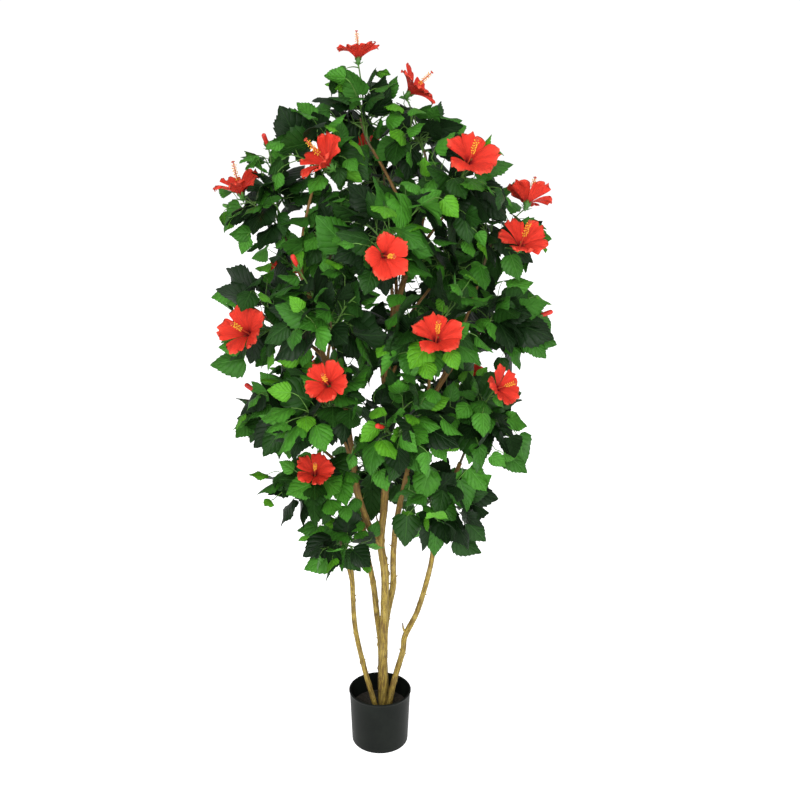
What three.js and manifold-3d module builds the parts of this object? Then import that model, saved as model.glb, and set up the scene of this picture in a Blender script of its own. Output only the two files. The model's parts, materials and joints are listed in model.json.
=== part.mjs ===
// An artificial hibiscus tree in its pot, in millimetres: natural wood stems set in a filled plastic pot, with a
// crown of fabric leaves and blossom on them. +Z is up, +X is to the right and -Y is to the front. The origin is
// the middle of the pot's flat underside.
import * as THREE from "three";
import { mergeVertices } from "three/addons/utils/BufferGeometryUtils.js";
import Module from "manifold-3d";

const wasm = await Module();
wasm.setup();

// ---- Driving dimensions ----

const CLEARANCE = 0.3; // between pieces that touch

const POT = {
  height: 149,
  rimRadius: 82.5,
  footRadius: 74.5,
  wall: 2.5,
  floor: 4,
  lip: 1.8, // the rim band stands out of the wall by this
  lipHeight: 7,
  footEdge: 5, // the bevel round the underside
  sides: 32,
};
const FILL = { top: 100, sides: 24 };
const GROUND = FILL.top + CLEARANCE; // where the stems are cut flat

// Each stem runs through its knots from a flat foot on the filling to its tip, and tapers evenly.
const STEMS = {
  trunk: {
    radii: [11.8, 5.8],
    knots: [
      [7.5, 0, GROUND],
      [7.5, 0, GROUND + 14],
      [9, 0, 274],
      [13, 0, 470],
      [2, 0, 570],
      [12, 6, 680],
      [17, 15, 860],
      [19, 15, 1039],
      [42, 14, 1180],
      [101, 5, 1388],
      [108, 5, 1490],
    ],
  },
  stem_left: {
    radii: [7, 5.6],
    knots: [
      [-14, -17, GROUND],
      [-14, -17, GROUND + 12],
      [-42, -12, 218],
      [-66, -5, 340],
      [-74, 0, 490],
      [-92, -12, 560],
      [-135, -45, 650],
    ],
  },
  stem_back: {
    radii: [8.8, 4.8],
    knots: [
      [3, 21, GROUND],
      [3, 21, GROUND + 14],
      [2, 23, 262],
      [-8, 27, 348],
      [-17, 30, 434],
      [-36, 30, 540],
      [-62, 75, 720],
      [-90, 125, 890],
      [-130, 175, 1085],
    ],
  },
  stem_right_back: {
    radii: [9.6, 4.8],
    knots: [
      [14, 38, GROUND],
      [14, 38, GROUND + 14],
      [11, 41, 262],
      [19, 36, 348],
      [34, 23, 434],
      [34, 12, 500],
      [36, 3, 560],
      [47, -20, 664],
      [99, -50, 899],
      [150, -55, 1005],
      [215, -35, 1095],
    ],
  },
  stem_right: {
    radii: [8.2, 5.2],
    knots: [
      [24, -15, GROUND],
      [24, -15, GROUND + 12],
      [38, -10, 180],
      [60, -5, 262],
      [66, -4, 306],
      [99, 0, 379],
      [128, 0, 491],
      [145, 0, 600],
      [165, -12, 690],
      [198, -28, 790],
    ],
  },
};

// The trunk forks low down. The fork begins on the trunk's centreline and is cut back to the trunk's surface.
const FORK = {
  name: "fork_left",
  limb: "trunk",
  radii: [9.2, 4.8],
  knots: [
    [3, 0, 556],
    [-31, -5, 620],
    [-62, -28, 735],
    [-80, -50, 851],
    [-129, -80, 1053],
    [-157, -80, 1192],
    [-212, -42, 1320],
  ],
};

// Each mass of foliage fills the space round its heart, out to its reach on each axis. It grows from the tip of
// `limb`, or from a bough that leaves `limb` at the share `at` of its length. Each bloom's rim stands `from` the
// heart, and faces a turn from the front towards the right and a rise above the horizon, in degrees.
const MASSES = {
  crest: {
    limb: "trunk",
    at: 0.86,
    heart: [-45, 0, 1608],
    reach: [125, 132, 120],
    blooms: [{ from: [-4, 0, 156], turn: 0, rise: 90 }],
  },
  crest_right: {
    limb: "trunk",
    heart: [82, 25, 1570],
    reach: [122, 142, 117],
    blooms: [{ from: [5, 5, 112], turn: 78, rise: 52 }],
  },
  upper_left: {
    limb: "fork_left",
    at: 0.9,
    heart: [-141, -80, 1525],
    reach: [134, 142, 132],
    blooms: [{ from: [17, -120, -5], turn: -62, rise: 18 }],
  },
  upper_right: {
    limb: "trunk",
    at: 0.82,
    heart: [182, -105, 1455],
    reach: [120, 152, 142],
    blooms: [{ from: [11, -95, 69], turn: 18, rise: 32 }],
  },
  upper_back: {
    limb: "trunk",
    at: 0.76,
    heart: [10, 195, 1480],
    reach: [182, 157, 162],
    blooms: [{ from: [-60, 105, 80], turn: 200, rise: 35 }],
  },
  shoulder_left: {
    limb: "fork_left",
    heart: [-260, 20, 1430],
    reach: [134, 162, 146],
    blooms: [{ from: [-70, -20, 33], turn: -65, rise: 66 }],
    buds: [{ from: [-10, -20, 150], turn: -30, rise: 60 }],
  },
  shoulder_right: {
    limb: "stem_right_back",
    at: 0.86,
    heart: [276, 25, 1346],
    reach: [126, 162, 146],
    blooms: [
      { from: [74, 25, 96], turn: 110, rise: 62 },
      { from: [44, -135, -1], turn: 14, rise: 42 },
    ],
  },
  front_high: {
    limb: "trunk",
    at: 0.72,
    heart: [17, -215, 1362],
    reach: [167, 162, 142],
    blooms: [{ from: [1, -135, -36], turn: 8, rise: -4 }],
  },
  core_left: {
    limb: "fork_left",
    at: 0.8,
    heart: [-100, -50, 1360],
    reach: [142, 142, 142],
  },
  core_right: {
    limb: "trunk",
    at: 0.68,
    heart: [165, 10, 1290],
    reach: [137, 142, 142],
  },
  core_low: {
    limb: "trunk",
    at: 0.54,
    heart: [-5, 110, 1090],
    reach: [147, 142, 152],
  },
  left_middle: {
    limb: "fork_left",
    at: 0.66,
    heart: [-280, -20, 1160],
    reach: [130, 167, 138],
    blooms: [{ from: [-30, -120, -18], turn: -28, rise: 8 }],
  },
  front_left: {
    limb: "fork_left",
    at: 0.6,
    heart: [-107, -225, 1180],
    reach: [157, 152, 142],
    buds: [{ from: [-82, -5, 145], turn: -40, rise: 60 }],
  },
  front_right: {
    limb: "stem_right_back",
    at: 0.8,
    heart: [112, -225, 1165],
    reach: [162, 157, 142],
    blooms: [{ from: [6, -120, 6], turn: 14, rise: 42 }],
  },
  right_middle: {
    limb: "stem_right_back",
    heart: [304, 0, 1130],
    reach: [128, 162, 130],
    buds: [{ from: [100, 0, 34], turn: 80, rise: 10 }],
  },
  back_left: {
    limb: "stem_back",
    heart: [-190, 235, 1205],
    reach: [157, 157, 157],
    blooms: [{ from: [-70, 110, 20], turn: 215, rise: 20 }],
  },
  back_right: {
    limb: "trunk",
    at: 0.62,
    heart: [186, 240, 1195],
    reach: [157, 157, 152],
    blooms: [{ from: [50, 115, 30], turn: 160, rise: 15 }],
  },
  left_low: {
    limb: "fork_left",
    at: 0.24,
    heart: [-238, 0, 905],
    reach: [130, 167, 143],
    buds: [{ from: [-105, 80, 60], turn: 250, rise: 30 }],
  },
  front_left_low: {
    limb: "fork_left",
    at: 0.34,
    heart: [-128, -215, 975],
    reach: [157, 152, 137],
    blooms: [{ from: [14, -115, 93], turn: -6, rise: 14 }],
  },
  front_low: {
    limb: "trunk",
    at: 0.44,
    heart: [33, -215, 930],
    reach: [157, 157, 137],
    buds: [{ from: [-44, -115, 42], turn: -30, rise: 20 }],
  },
  right_low: {
    limb: "stem_right",
    heart: [240, -45, 908],
    reach: [124, 162, 134],
    blooms: [{ from: [45, -125, 113], turn: 32, rise: 8 }],
  },
  back_left_low: {
    limb: "stem_back",
    at: 0.66,
    heart: [-165, 215, 910],
    reach: [157, 157, 147],
    blooms: [{ from: [-60, 115, 50], turn: 205, rise: 30 }],
  },
  back_right_low: {
    limb: "trunk",
    at: 0.46,
    heart: [180, 210, 905],
    reach: [157, 157, 147],
    blooms: [{ from: [80, 95, 40], turn: 140, rise: 35 }],
  },
  foot_left_front: {
    limb: "stem_left",
    heart: [-170, -95, 768],
    reach: [137, 142, 120],
    blooms: [{ from: [23, -125, 73], turn: 4, rise: 46 }],
  },
  foot_left: {
    limb: "stem_left",
    at: 0.6,
    heart: [-98, -75, 603],
    reach: [108, 115, 105],
  },
  foot_right: {
    limb: "stem_right",
    at: 0.72,
    heart: [170, -40, 690],
    reach: [134, 152, 132],
  },
  foot_back: {
    limb: "trunk",
    at: 0.36,
    heart: [5, 160, 700],
    reach: [162, 137, 132],
    blooms: [{ from: [30, 110, 30], turn: 175, rise: 25 }],
  },
};

const BOUGH = {
  radii: [4.6, 3.2],
  leave: 0.4, // how far along its run a bough bends away from its limb
  entry: 0.6, // a bough ends this share of the mass's reach short of its heart
};
const TWIG = {
  count: 6, // twigs that branch from a mass's stem
  steps: 2,
  radii: [3.1, 2.3],
  stemRadii: [4.5, 3.9],
  spread: 0.45, // share of the reach at which a twig ends
  lift: 0.15,
};
const LEAF = { length: 112, width: 0.8, thickness: 3, widest: 0.48, shares: [0.78, 0.5] };
const ROSETTE = { leaves: 5, length: 120, above: 2.5, below: 5, aside: 4, stub: 0.3, outwards: 0.35, notch: 0.86 };
const BLOOM = { radius: 54, notch: 0.62, depth: 40, throat: 14, column: 78, columnRadius: 2.4, lean: 4 };
const BUD = { length: 46, radius: 8 };
const SPACE_MARGIN = 0.6; // what grows in a mass stays this far from the border with the next one
const LIMB_MARGIN = 3; // and this far from the surface of a limb
const FINEST = 0.05; // edges shorter than this are closed up, so that no face is a sliver

const MATERIALS = {
  plastic: new THREE.MeshStandardMaterial({ color: 0x1c1e1d, roughness: 0.45, metalness: 0 }),
  cement: new THREE.MeshStandardMaterial({ color: 0x4a463c, roughness: 0.95, metalness: 0 }),
  bark: new THREE.MeshStandardMaterial({ color: 0xa98a45, roughness: 0.8, metalness: 0 }),
  foliage: new THREE.MeshStandardMaterial({ color: 0x2f6b2a, roughness: 0.65, metalness: 0 }),
};

// ---- Small helpers ----

const vec = ([x, y, z]) => new THREE.Vector3(x, y, z);
const mix = (a, b, share) => a + (b - a) * share;
const GOLDEN_ANGLE = Math.PI * (3 - Math.sqrt(5));
const UP = new THREE.Vector3(0, 0, 1);

// Park and Miller's generator, so that the same seed always grows the same plant.
function seeded(seed) {
  let state = seed;
  return (low = 0, high = 1) => {
    state = (state * 16807) % 2147483647;
    return mix(low, high, state / 2147483647);
  };
}

function facing({ turn, rise }) {
  const [t, r] = [THREE.MathUtils.degToRad(turn), THREE.MathUtils.degToRad(rise)];
  return new THREE.Vector3(Math.sin(t) * Math.cos(r), -Math.cos(t) * Math.cos(r), Math.sin(r));
}

function solidOf(geometry) {
  const bare = geometry.clone().deleteAttribute("normal").deleteAttribute("uv");
  const merged = mergeVertices(bare, 1e-4);
  const mesh = new wasm.Mesh({
    numProp: 3,
    vertProperties: new Float32Array(merged.attributes.position.array),
    triVerts: new Uint32Array(merged.index.array),
  });
  return new wasm.Manifold(mesh);
}

// The largest body of a solid, without loose scraps or the walls of hollows that are sealed inside it.
function wholeBody(solid) {
  return solid.decompose().reduce((best, body) => (body.volume() > best.volume() ? body : best));
}

function meshOf(solid, name, material) {
  const { vertProperties, triVerts } = solid.getMesh();
  const geometry = new THREE.BufferGeometry()
    .setAttribute("position", new THREE.BufferAttribute(new Float32Array(vertProperties), 3))
    .setIndex(new THREE.BufferAttribute(new Uint32Array(triVerts), 1));
  geometry.computeVertexNormals();
  const mesh = new THREE.Mesh(geometry, material);
  mesh.name = name;
  return mesh;
}

// Moves each vertex of a geometry to where place(vertex) puts it.
function reshaped(geometry, place) {
  const position = geometry.attributes.position;
  const vertex = new THREE.Vector3();
  for (let i = 0; i < position.count; i++) {
    const to = place(vertex.fromBufferAttribute(position, i));
    position.setXYZ(i, to.x, to.y, to.z);
  }
  return geometry;
}

// ---- Pot and filling ----

function turned(profile, sides) {
  const points = profile.map(([radius, height]) => new THREE.Vector2(radius, height));
  return new THREE.LatheGeometry(points, sides).rotateX(Math.PI / 2);
}

const wallRadius = (z) => mix(POT.footRadius, POT.rimRadius - POT.lip, z / POT.height);

function potGeometry() {
  const lipFoot = POT.height - POT.lipHeight;
  const profile = [
    [0, 0],
    [POT.footRadius - POT.footEdge, 0],
    [wallRadius(POT.footEdge), POT.footEdge],
    [wallRadius(lipFoot), lipFoot],
    [POT.rimRadius, lipFoot + POT.lip],
    [POT.rimRadius, POT.height],
    [wallRadius(POT.height) - POT.wall, POT.height],
    [wallRadius(POT.floor) - POT.wall, POT.floor],
    [0, POT.floor],
  ];
  return turned(profile, POT.sides);
}

function fillGeometry() {
  const foot = POT.floor + CLEARANCE;
  const flat = Math.cos(Math.PI / POT.sides); // the pot's inside is a polygon, nearest at the middle of its sides
  const radius = (z) => (wallRadius(z) - POT.wall) * flat - CLEARANCE;
  const profile = [
    [0, foot],
    [radius(foot), foot],
    [radius(FILL.top), FILL.top],
    [0, FILL.top],
  ];
  return turned(profile, FILL.sides);
}

// ---- Limbs ----

// A closed tapering tube along a curve: a cylinder whose rings are moved onto the curve.
function taperedTube(curve, [footRadius, tipRadius], sides, steps) {
  const frames = curve.computeFrenetFrames(steps, false);
  const tube = new THREE.CylinderGeometry(tipRadius, footRadius, 1, sides, steps);
  return reshaped(tube, ({ x, y, z }) => {
    const ring = Math.round((y + 0.5) * steps);
    return curve
      .getPointAt(ring / steps)
      .addScaledVector(frames.normals[ring], x)
      .addScaledVector(frames.binormals[ring], -z);
  });
}

// What the foliage keeps clear of: a tapering run of points along a curve.
const obstacles = [];

function addObstacle(owner, curve, [foot, tip]) {
  const count = Math.ceil(curve.getLength() / 6);
  const samples = curve.getSpacedPoints(count).map((at, i) => ({ at, radius: mix(foot, tip, i / count) }));
  obstacles.push({ owner, samples });
}

function limbOf(name, curve, radii, sides, steps) {
  const grown = radii.map((radius) => radius + CLEARANCE);
  addObstacle(name, curve, radii);
  return {
    name,
    curve,
    solid: solidOf(taperedTube(curve, radii, sides, steps)),
    grown: solidOf(taperedTube(curve, grown, sides, steps)),
  };
}

const throughKnots = (knots) => new THREE.CatmullRomCurve3(knots.map(vec), false, "catmullrom");

const limbs = {};
for (const [name, { radii, knots }] of Object.entries(STEMS)) {
  limbs[name] = limbOf(name, throughKnots(knots), radii, 7, 13);
}
limbs[FORK.name] = limbOf(FORK.name, throughKnots(FORK.knots), FORK.radii, 7, 11);
limbs[FORK.name].solid = wholeBody(limbs[FORK.name].solid.subtract(limbs[FORK.limb].grown));

// A bough leaves its limb between the limb's own direction and the way to its mass, and ends inside the mass.
function boughOf(name, { limb, at, heart, reach }) {
  const parent = limbs[limb];
  const foot = parent.curve.getPointAt(at);
  const way = vec(heart).sub(foot);
  const short = (BOUGH.entry * (reach[0] + reach[1] + reach[2])) / 3;
  const tip = vec(heart).addScaledVector(way.clone().normalize(), -short);
  const run = tip.distanceTo(foot);
  const leaving = parent.curve.getTangentAt(at).add(way.normalize()).normalize();
  const bend = foot.clone().addScaledVector(leaving, BOUGH.leave * run);
  const curve = new THREE.QuadraticBezierCurve3(foot, bend, tip);
  const bough = limbOf(name, curve, BOUGH.radii, 5, 4);
  bough.solid = wholeBody(bough.solid.subtract(parent.grown));
  return bough;
}

for (const [name, mass] of Object.entries(MASSES)) {
  if (mass.at !== undefined) limbs["bough_" + name] = boughOf("bough_" + name, mass);
}

// ---- Foliage ----

// A point belongs to the mass whose heart is nearest, weighed by reach, and the border between two masses is flat.
const spaces = Object.entries(MASSES).map(([name, { heart, reach }]) => ({
  name,
  heart: vec(heart),
  reach: vec(reach),
  weight: ((reach[0] + reach[1] + reach[2]) / 3) ** 2,
}));

function inSpace(space, point, margin = SPACE_MARGIN) {
  const own = point.distanceToSquared(space.heart) - space.weight;
  return spaces.every((other) => {
    if (other === space) return true;
    const border = point.distanceToSquared(other.heart) - other.weight - own;
    return border / (2 * other.heart.distanceTo(space.heart)) > margin;
  });
}

const outFromCrown = ({ heart }) => new THREE.Vector3(heart.x, heart.y, 0).normalize();

function inReach(space, point) {
  return point.clone().sub(space.heart).divide(space.reach).length() <= 1;
}

// Whether any of the points comes near a limb, or near a stem or a flower's twig of another mass.
function touches(points, ownRadius, owner) {
  const margin = ownRadius + LIMB_MARGIN;
  const near = (point) => ({ at, radius }) => point.distanceToSquared(at) < (radius + margin) ** 2;
  return obstacles.some((one) => one.owner !== owner && points.some((point) => one.samples.some(near(point))));
}

// A leaf's blade: its root, its tip and its two widest points, which lie lower so that it is folded on its midrib.
function bladeOf(root, along, face, length) {
  const side = along.clone().cross(face).normalize();
  const normal = side.clone().cross(along);
  const middle = root.clone().addScaledVector(along, LEAF.widest * length);
  middle.addScaledVector(normal, -LEAF.thickness);
  const wide = [-0.5, 0.5].map((hand) => middle.clone().addScaledVector(side, hand * LEAF.width * length));
  return { root, wide, tip: root.clone().addScaledVector(along, length) };
}

// A leaf on its own is a tetrahedron between the midrib above and the line across its widest points below.
function leafSolid({ root, wide, tip }) {
  const leaf = new THREE.TetrahedronGeometry(1).rotateZ(-Math.PI / 4);
  return solidOf(reshaped(leaf, ({ x, y, z }) => (z > 0 ? (y > 0 ? tip : root) : wide[x > 0 ? 1 : 0])));
}

// The two halves of a blade, from just past its root, as triangles.
function halvesOf({ root, wide, tip }) {
  const foot = root.clone().lerp(tip, 0.06);
  return wide.map((corner) => [foot, corner, tip]);
}

// Points over a blade, past its root, for the tests of its space.
function pointsOn({ root, wide, tip }) {
  const points = [];
  for (const corner of wide) {
    for (const out of [0.4, 0.7, 1]) {
      const edge = (end, share) => end.clone().lerp(corner, share);
      points.push(...[0.25, 0.5, 0.75, 1].map((share) => edge(root, share).lerp(edge(tip, share), 1 - out)));
    }
  }
  for (const share of [0.25, 0.4, 0.55, 0.7, 0.85, 1]) points.push(root.clone().lerp(tip, share));
  return points;
}

// How far apart a rosette's upper and lower faces are at its narrowest. Below 0 they would have crossed.
function narrowest(foot, top, rim) {
  const way = top.clone().sub(foot);
  const [from, to] = [rim, [...rim.slice(1), rim[0]]].map((points) => points.map((p) => p.clone().sub(foot).normalize()));
  return Math.min(...from.map((one, i) => one.cross(to[i]).dot(way)));
}

// The leaves round a twig's end are one piece: a cone whose rim runs out to each leaf's tip and back in between.
// The foot of the cone lies to one side, so that the twig enters through one face: to the side that leaves the
// leaves thickest.
function rosetteSolid({ centre, axis, side, blades }) {
  const rim = blades.flatMap((blade, i) => {
    const next = blades[(i + 1) % blades.length];
    const [one, other] = [blade.wide[0].distanceTo(centre), next.wide[1].distanceTo(centre)];
    const between = blade.wide[0].clone().lerp(next.wide[1], 0.5).sub(centre);
    return [blade.tip, between.setLength(ROSETTE.notch * Math.max(one, other)).add(centre)];
  });
  const top = centre.clone().addScaledVector(axis, ROSETTE.above);
  const under = centre.clone().addScaledVector(axis, -ROSETTE.below);
  const feet = Array.from({ length: 8 }, (_, i) => {
    const way = side.clone().applyAxisAngle(axis, (i * Math.PI) / 4);
    return under.clone().addScaledVector(way, ROSETTE.aside);
  });
  const [foot] = feet.toSorted((one, other) => narrowest(other, top, rim) - narrowest(one, top, rim));
  const cone = reshaped(new THREE.ConeGeometry(1, 1, rim.length), ({ x, y, z }) => {
    if (Math.hypot(x, z) < 1e-6) return y < 0 ? top : foot;
    const corner = Math.round((Math.atan2(z, x) / (2 * Math.PI)) * rim.length);
    return rim[(corner + rim.length) % rim.length];
  });
  return solidOf(cone);
}

// A five-petalled bloom: a cone whose rim is drawn out into petals, and a column that leans out of its throat.
function bloomSolid(foot, axis) {
  const turn = new THREE.Quaternion().setFromUnitVectors(UP, axis);
  const placed = (geometry) => solidOf(geometry.applyQuaternion(turn).translate(foot.x, foot.y, foot.z));
  const corners = 15; // two corners and a notch to each petal
  const cup = reshaped(new THREE.ConeGeometry(1, 1, corners), ({ x, y, z }) => {
    if (Math.hypot(x, z) < 1e-6) return new THREE.Vector3(0, 0, y > 0 ? 0 : BLOOM.throat);
    const corner = Math.round((Math.atan2(x, z) / (2 * Math.PI)) * corners + corners);
    const share = corner % 3 === 0 ? BLOOM.notch : 1;
    return new THREE.Vector3(x, z, 0).setLength(BLOOM.radius * share).setZ(BLOOM.depth);
  });
  const run = BLOOM.column - BLOOM.throat / 2;
  const column = new THREE.CylinderGeometry(BLOOM.columnRadius, BLOOM.columnRadius, run, 3)
    .rotateX(Math.PI / 2)
    .translate(BLOOM.lean, 0, BLOOM.column - run / 2);
  return placed(cup).add(placed(column));
}

function budSolid(foot, axis) {
  const turn = new THREE.Quaternion().setFromUnitVectors(UP, axis);
  const bud = new THREE.OctahedronGeometry(1)
    .scale(BUD.radius, BUD.radius, BUD.length / 2)
    .translate(0, 0, BUD.length / 2)
    .applyQuaternion(turn)
    .translate(foot.x, foot.y, foot.z);
  return solidOf(bud);
}

// Whether the way from one point to another goes through a triangle.
function pierces(from, to, triangle) {
  const way = to.clone().sub(from);
  const length = way.length();
  const hit = new THREE.Ray(from, way.divideScalar(length)).intersectTriangle(...triangle, false, way.clone());
  return hit !== null && hit.distanceTo(from) < length;
}

function bladesCross(one, other) {
  const edges = ([foot, corner, tip]) => [[foot, corner], [corner, tip], [foot, tip]];
  const through = (a, b) => a.some((half) => edges(half).some(([p, q]) => b.some((face) => pierces(p, q, face))));
  return through(one, other) || through(other, one);
}

// Whether a point is within or close before a bloom.
function inBloom({ foot, axis }, point) {
  const away = point.clone().sub(foot);
  const height = away.dot(axis);
  const wide = away.addScaledVector(axis, -height).length();
  return height > 0 && height < BLOOM.column && wide < BLOOM.radius * Math.min(1, height / BLOOM.depth) + 3;
}

// The point at a share of a tube's length on its own centreline, which is straight from ring to ring.
function onTube(curve, steps, share) {
  const ring = Math.min(Math.floor(share * steps), steps - 1);
  return curve.getPointAt(ring / steps).lerp(curve.getPointAt((ring + 1) / steps), share * steps - ring);
}

// Whether a blade keeps to its space, off the limbs and blooms, and crosses no twig or blade of its own mass.
function bladeFits(blade, space, twig, { twigs, halves }) {
  const points = pointsOn(blade);
  if (!points.every((point) => inReach(space, point) && inSpace(space, point))) return false;
  if (points.some((point) => blooms.some((bloom) => inBloom(bloom, point)))) return false;
  const own = halvesOf(blade);
  const crossed = (way) => way.some(([p, q]) => own.some((half) => pierces(p, q, half)));
  if (twigs.some((other) => other !== twig && crossed(other.way))) return false;
  if (halves.some((other) => bladesCross(own, other))) return false;
  return !touches(points, LEAF.thickness / 2, space.name);
}

// Leaves on their own stand round a twig by the golden angle. Each leans out from the heart and hangs, with its
// face outwards. A leaf that doesn't fit is turned a few times, getting smaller, before it is left out.
function leavesAlong(twig, shares, space, random, grown) {
  const firstTurn = random(0, 2 * Math.PI);
  return shares.flatMap((share, k) => {
    const tangent = twig.getTangentAt(share);
    const root = onTube(twig, TWIG.steps, share);
    const across = tangent.clone().cross(UP).normalize();
    const outwards = root.clone().sub(space.heart).normalize();
    outwards.addScaledVector(outFromCrown(space), 0.6).normalize();
    const hang = random(0.1, 0.8);
    const length = LEAF.length * random(0.9, 1.1);
    for (let turn = 0; turn < 8; turn++) {
      const along = across
        .clone()
        .applyAxisAngle(tangent, firstTurn + k * GOLDEN_ANGLE + turn * 0.9)
        .addScaledVector(tangent, 0.4)
        .addScaledVector(outwards, 0.6)
        .addScaledVector(UP, -hang)
        .normalize();
      const face = outwards.clone().addScaledVector(UP, 0.6);
      const blade = bladeOf(root, along, face, length * (1 - 0.04 * turn));
      if (!bladeFits(blade, space, twig, grown)) continue;
      grown.halves.push(halvesOf(blade));
      return [blade];
    }
    return [];
  });
}

// The leaves of a rosette stand round its twig's end and hang a little. One that doesn't fit is a stub.
function rosetteOn(twig, space, random, grown) {
  const [before, centre] = twig.way.at(-1);
  const axis = centre.clone().sub(before).normalize();
  axis.addScaledVector(outFromCrown(space), ROSETTE.outwards).normalize();
  const side = axis.clone().cross(UP).normalize().applyAxisAngle(axis, random(0, 2 * Math.PI));
  const blades = Array.from({ length: ROSETTE.leaves }, (_, i) => {
    const turn = ((i + random(-0.12, 0.12)) * 2 * Math.PI) / ROSETTE.leaves;
    const [lean, hang, size] = [random(0, 0.4), random(0, 0.4), random(0.88, 1.08)];
    const along = side.clone().applyAxisAngle(axis, turn);
    along.addScaledVector(axis, lean).addScaledVector(UP, -hang).normalize();
    const sizes = [1, 0.88, 0.76, 0.64, 0.52].map((part) => part * size * ROSETTE.length);
    const tries = sizes.map((length) => bladeOf(centre, along, axis, length));
    const fitting = tries.find((blade) => bladeFits(blade, space, twig, grown));
    return fitting ?? bladeOf(centre, along, axis, ROSETTE.stub * ROSETTE.length);
  });
  grown.halves.push(...blades.map(halvesOf));
  return { centre, axis, side, blades };
}

// The stem goes straight on from the tip that it meets, and bends to the heart.
function massStem(mass, name) {
  const limb = limbs[mass.at === undefined ? mass.limb : "bough_" + name];
  const tangent = limb.curve.getTangentAt(1);
  const foot = limb.curve.getPointAt(1).addScaledVector(tangent, CLEARANCE);
  const heart = vec(mass.heart);
  const bend = foot.clone().addScaledVector(tangent, foot.distanceTo(heart) / 2);
  return new THREE.QuadraticBezierCurve3(foot, bend, heart);
}

// A twig bends up and out from the stem to its tip.
function twigTo(stem, share, tip) {
  const foot = stem.getPointAt(share);
  const bend = foot.clone().lerp(tip, 0.5);
  bend.z += TWIG.lift * foot.distanceTo(tip);
  return new THREE.QuadraticBezierCurve3(foot, bend, tip);
}

// A twig fits where it keeps to its space and off the limbs and blooms, with room for a rosette at its end.
function twigFits(twig, space) {
  const points = twig.getSpacedPoints(8).slice(2);
  const room = ROSETTE.stub * ROSETTE.length;
  if (points.some((point) => blooms.some((bloom) => inBloom(bloom, point)))) return false;
  if (!inSpace(space, twig.getPointAt(1), room) || touches([twig.getPointAt(1)], room, space.name)) return false;
  return points.every((point) => inSpace(space, point)) && !touches(points, TWIG.radii[0], space.name);
}

// The place on a mass's stem of its twig number i.
const twigShare = (i) => mix(0.3, 0.92, i / (TWIG.count - 1));

// The stems and flowers come first, so that no mass grows into another's. A flower ends its own twig.
const blooms = [];
const frames = {};
for (const [name, mass] of Object.entries(MASSES)) {
  const stem = massStem(mass, name);
  addObstacle(name, stem, TWIG.stemRadii);
  const kinds = [
    ...(mass.blooms ?? []).map((flower) => ({ ...flower, made: bloomSolid, depth: BLOOM.depth })),
    ...(mass.buds ?? []).map((flower) => ({ ...flower, made: budSolid, depth: BUD.length })),
  ];
  const flowers = kinds.map(({ from, turn, rise, made, depth }, i) => {
    const axis = facing({ turn, rise });
    const foot = vec(mass.heart).add(vec(from)).addScaledVector(axis, -depth);
    const twig = twigTo(stem, twigShare(i), foot.clone().addScaledVector(axis, 6));
    addObstacle(name, twig, TWIG.radii);
    if (made === bloomSolid) blooms.push({ foot, axis });
    return { solid: made(foot, axis), twig };
  });
  frames[name] = { stem, flowers };
}

const solidTwig = (twig, radii, sides) => solidOf(taperedTube(twig, radii, sides, TWIG.steps));

// Which way a mass's twigs spread: evenly over all directions, first out from the crown's middle.
function spreadOut({ heart, reach }, i, count) {
  const rise = 0.85 - (1.7 * (i + 0.5)) / count;
  const around = Math.atan2(heart.y, heart.x) + (i - Math.floor(count / 2)) * GOLDEN_ANGLE;
  const level = Math.sqrt(1 - rise * rise);
  return new THREE.Vector3(Math.cos(around) * level, Math.sin(around) * level, rise).multiply(reach);
}

function massSolid(space, index) {
  const random = seeded(1000 + 77 * index);
  const { stem, flowers } = frames[space.name];
  const twigs = flowers.map(({ twig }) => twig);
  for (let i = flowers.length; i < TWIG.count; i++) {
    const out = spreadOut(space, i - flowers.length, TWIG.count - flowers.length);
    const tries = [1, 0.75].map((part) => space.heart.clone().addScaledVector(out, part * TWIG.spread));
    const twig = tries.map((tip) => twigTo(stem, twigShare(i), tip)).find((one) => twigFits(one, space));
    if (twig) twigs.push(twig);
  }

  for (const twig of [...twigs, stem]) {
    const rings = Array.from({ length: TWIG.steps + 1 }, (_, ring) => twig.getPointAt(ring / TWIG.steps));
    twig.way = rings.slice(1).map((ring, i) => [rings[i], ring]);
  }
  const grown = { twigs: [...twigs, stem], halves: [] };
  const bare = twigs.slice(flowers.length);
  const rosettes = bare.map((twig) => rosetteOn(twig, space, random, grown));
  const leaves = flowers.flatMap(({ twig }) => leavesAlong(twig, LEAF.shares, space, random, grown));

  const pieces = [
    solidTwig(stem, TWIG.stemRadii, 4),
    ...twigs.map((twig) => solidTwig(twig, TWIG.radii, 3)),
    ...flowers.map(({ solid }) => solid),
    ...rosettes.map(rosetteSolid),
    ...leaves.map(leafSolid),
  ];
  const joined = wasm.Manifold.union(pieces);
  const inTheWay = Object.values(limbs).filter(({ grown: limb }) => !joined.intersect(limb).isEmpty());
  const clear = inTheWay.reduce((body, limb) => body.subtract(limb.grown), joined);
  return wholeBody(clear.asOriginal().simplify(FINEST));
}

// ---- Assembly ----

const plant = new THREE.Group();

for (const [name, geometry, material] of [
  ["pot", potGeometry(), MATERIALS.plastic],
  ["pot_filling", fillGeometry(), MATERIALS.cement],
]) {
  const mesh = new THREE.Mesh(geometry, material);
  mesh.name = name;
  plant.add(mesh);
}

for (const { name, solid } of Object.values(limbs)) {
  plant.add(meshOf(solid, name, MATERIALS.bark));
}

spaces.forEach((space, index) => {
  plant.add(meshOf(massSolid(space, index), "foliage_" + space.name, MATERIALS.foliage));
});

export default plant;
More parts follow.
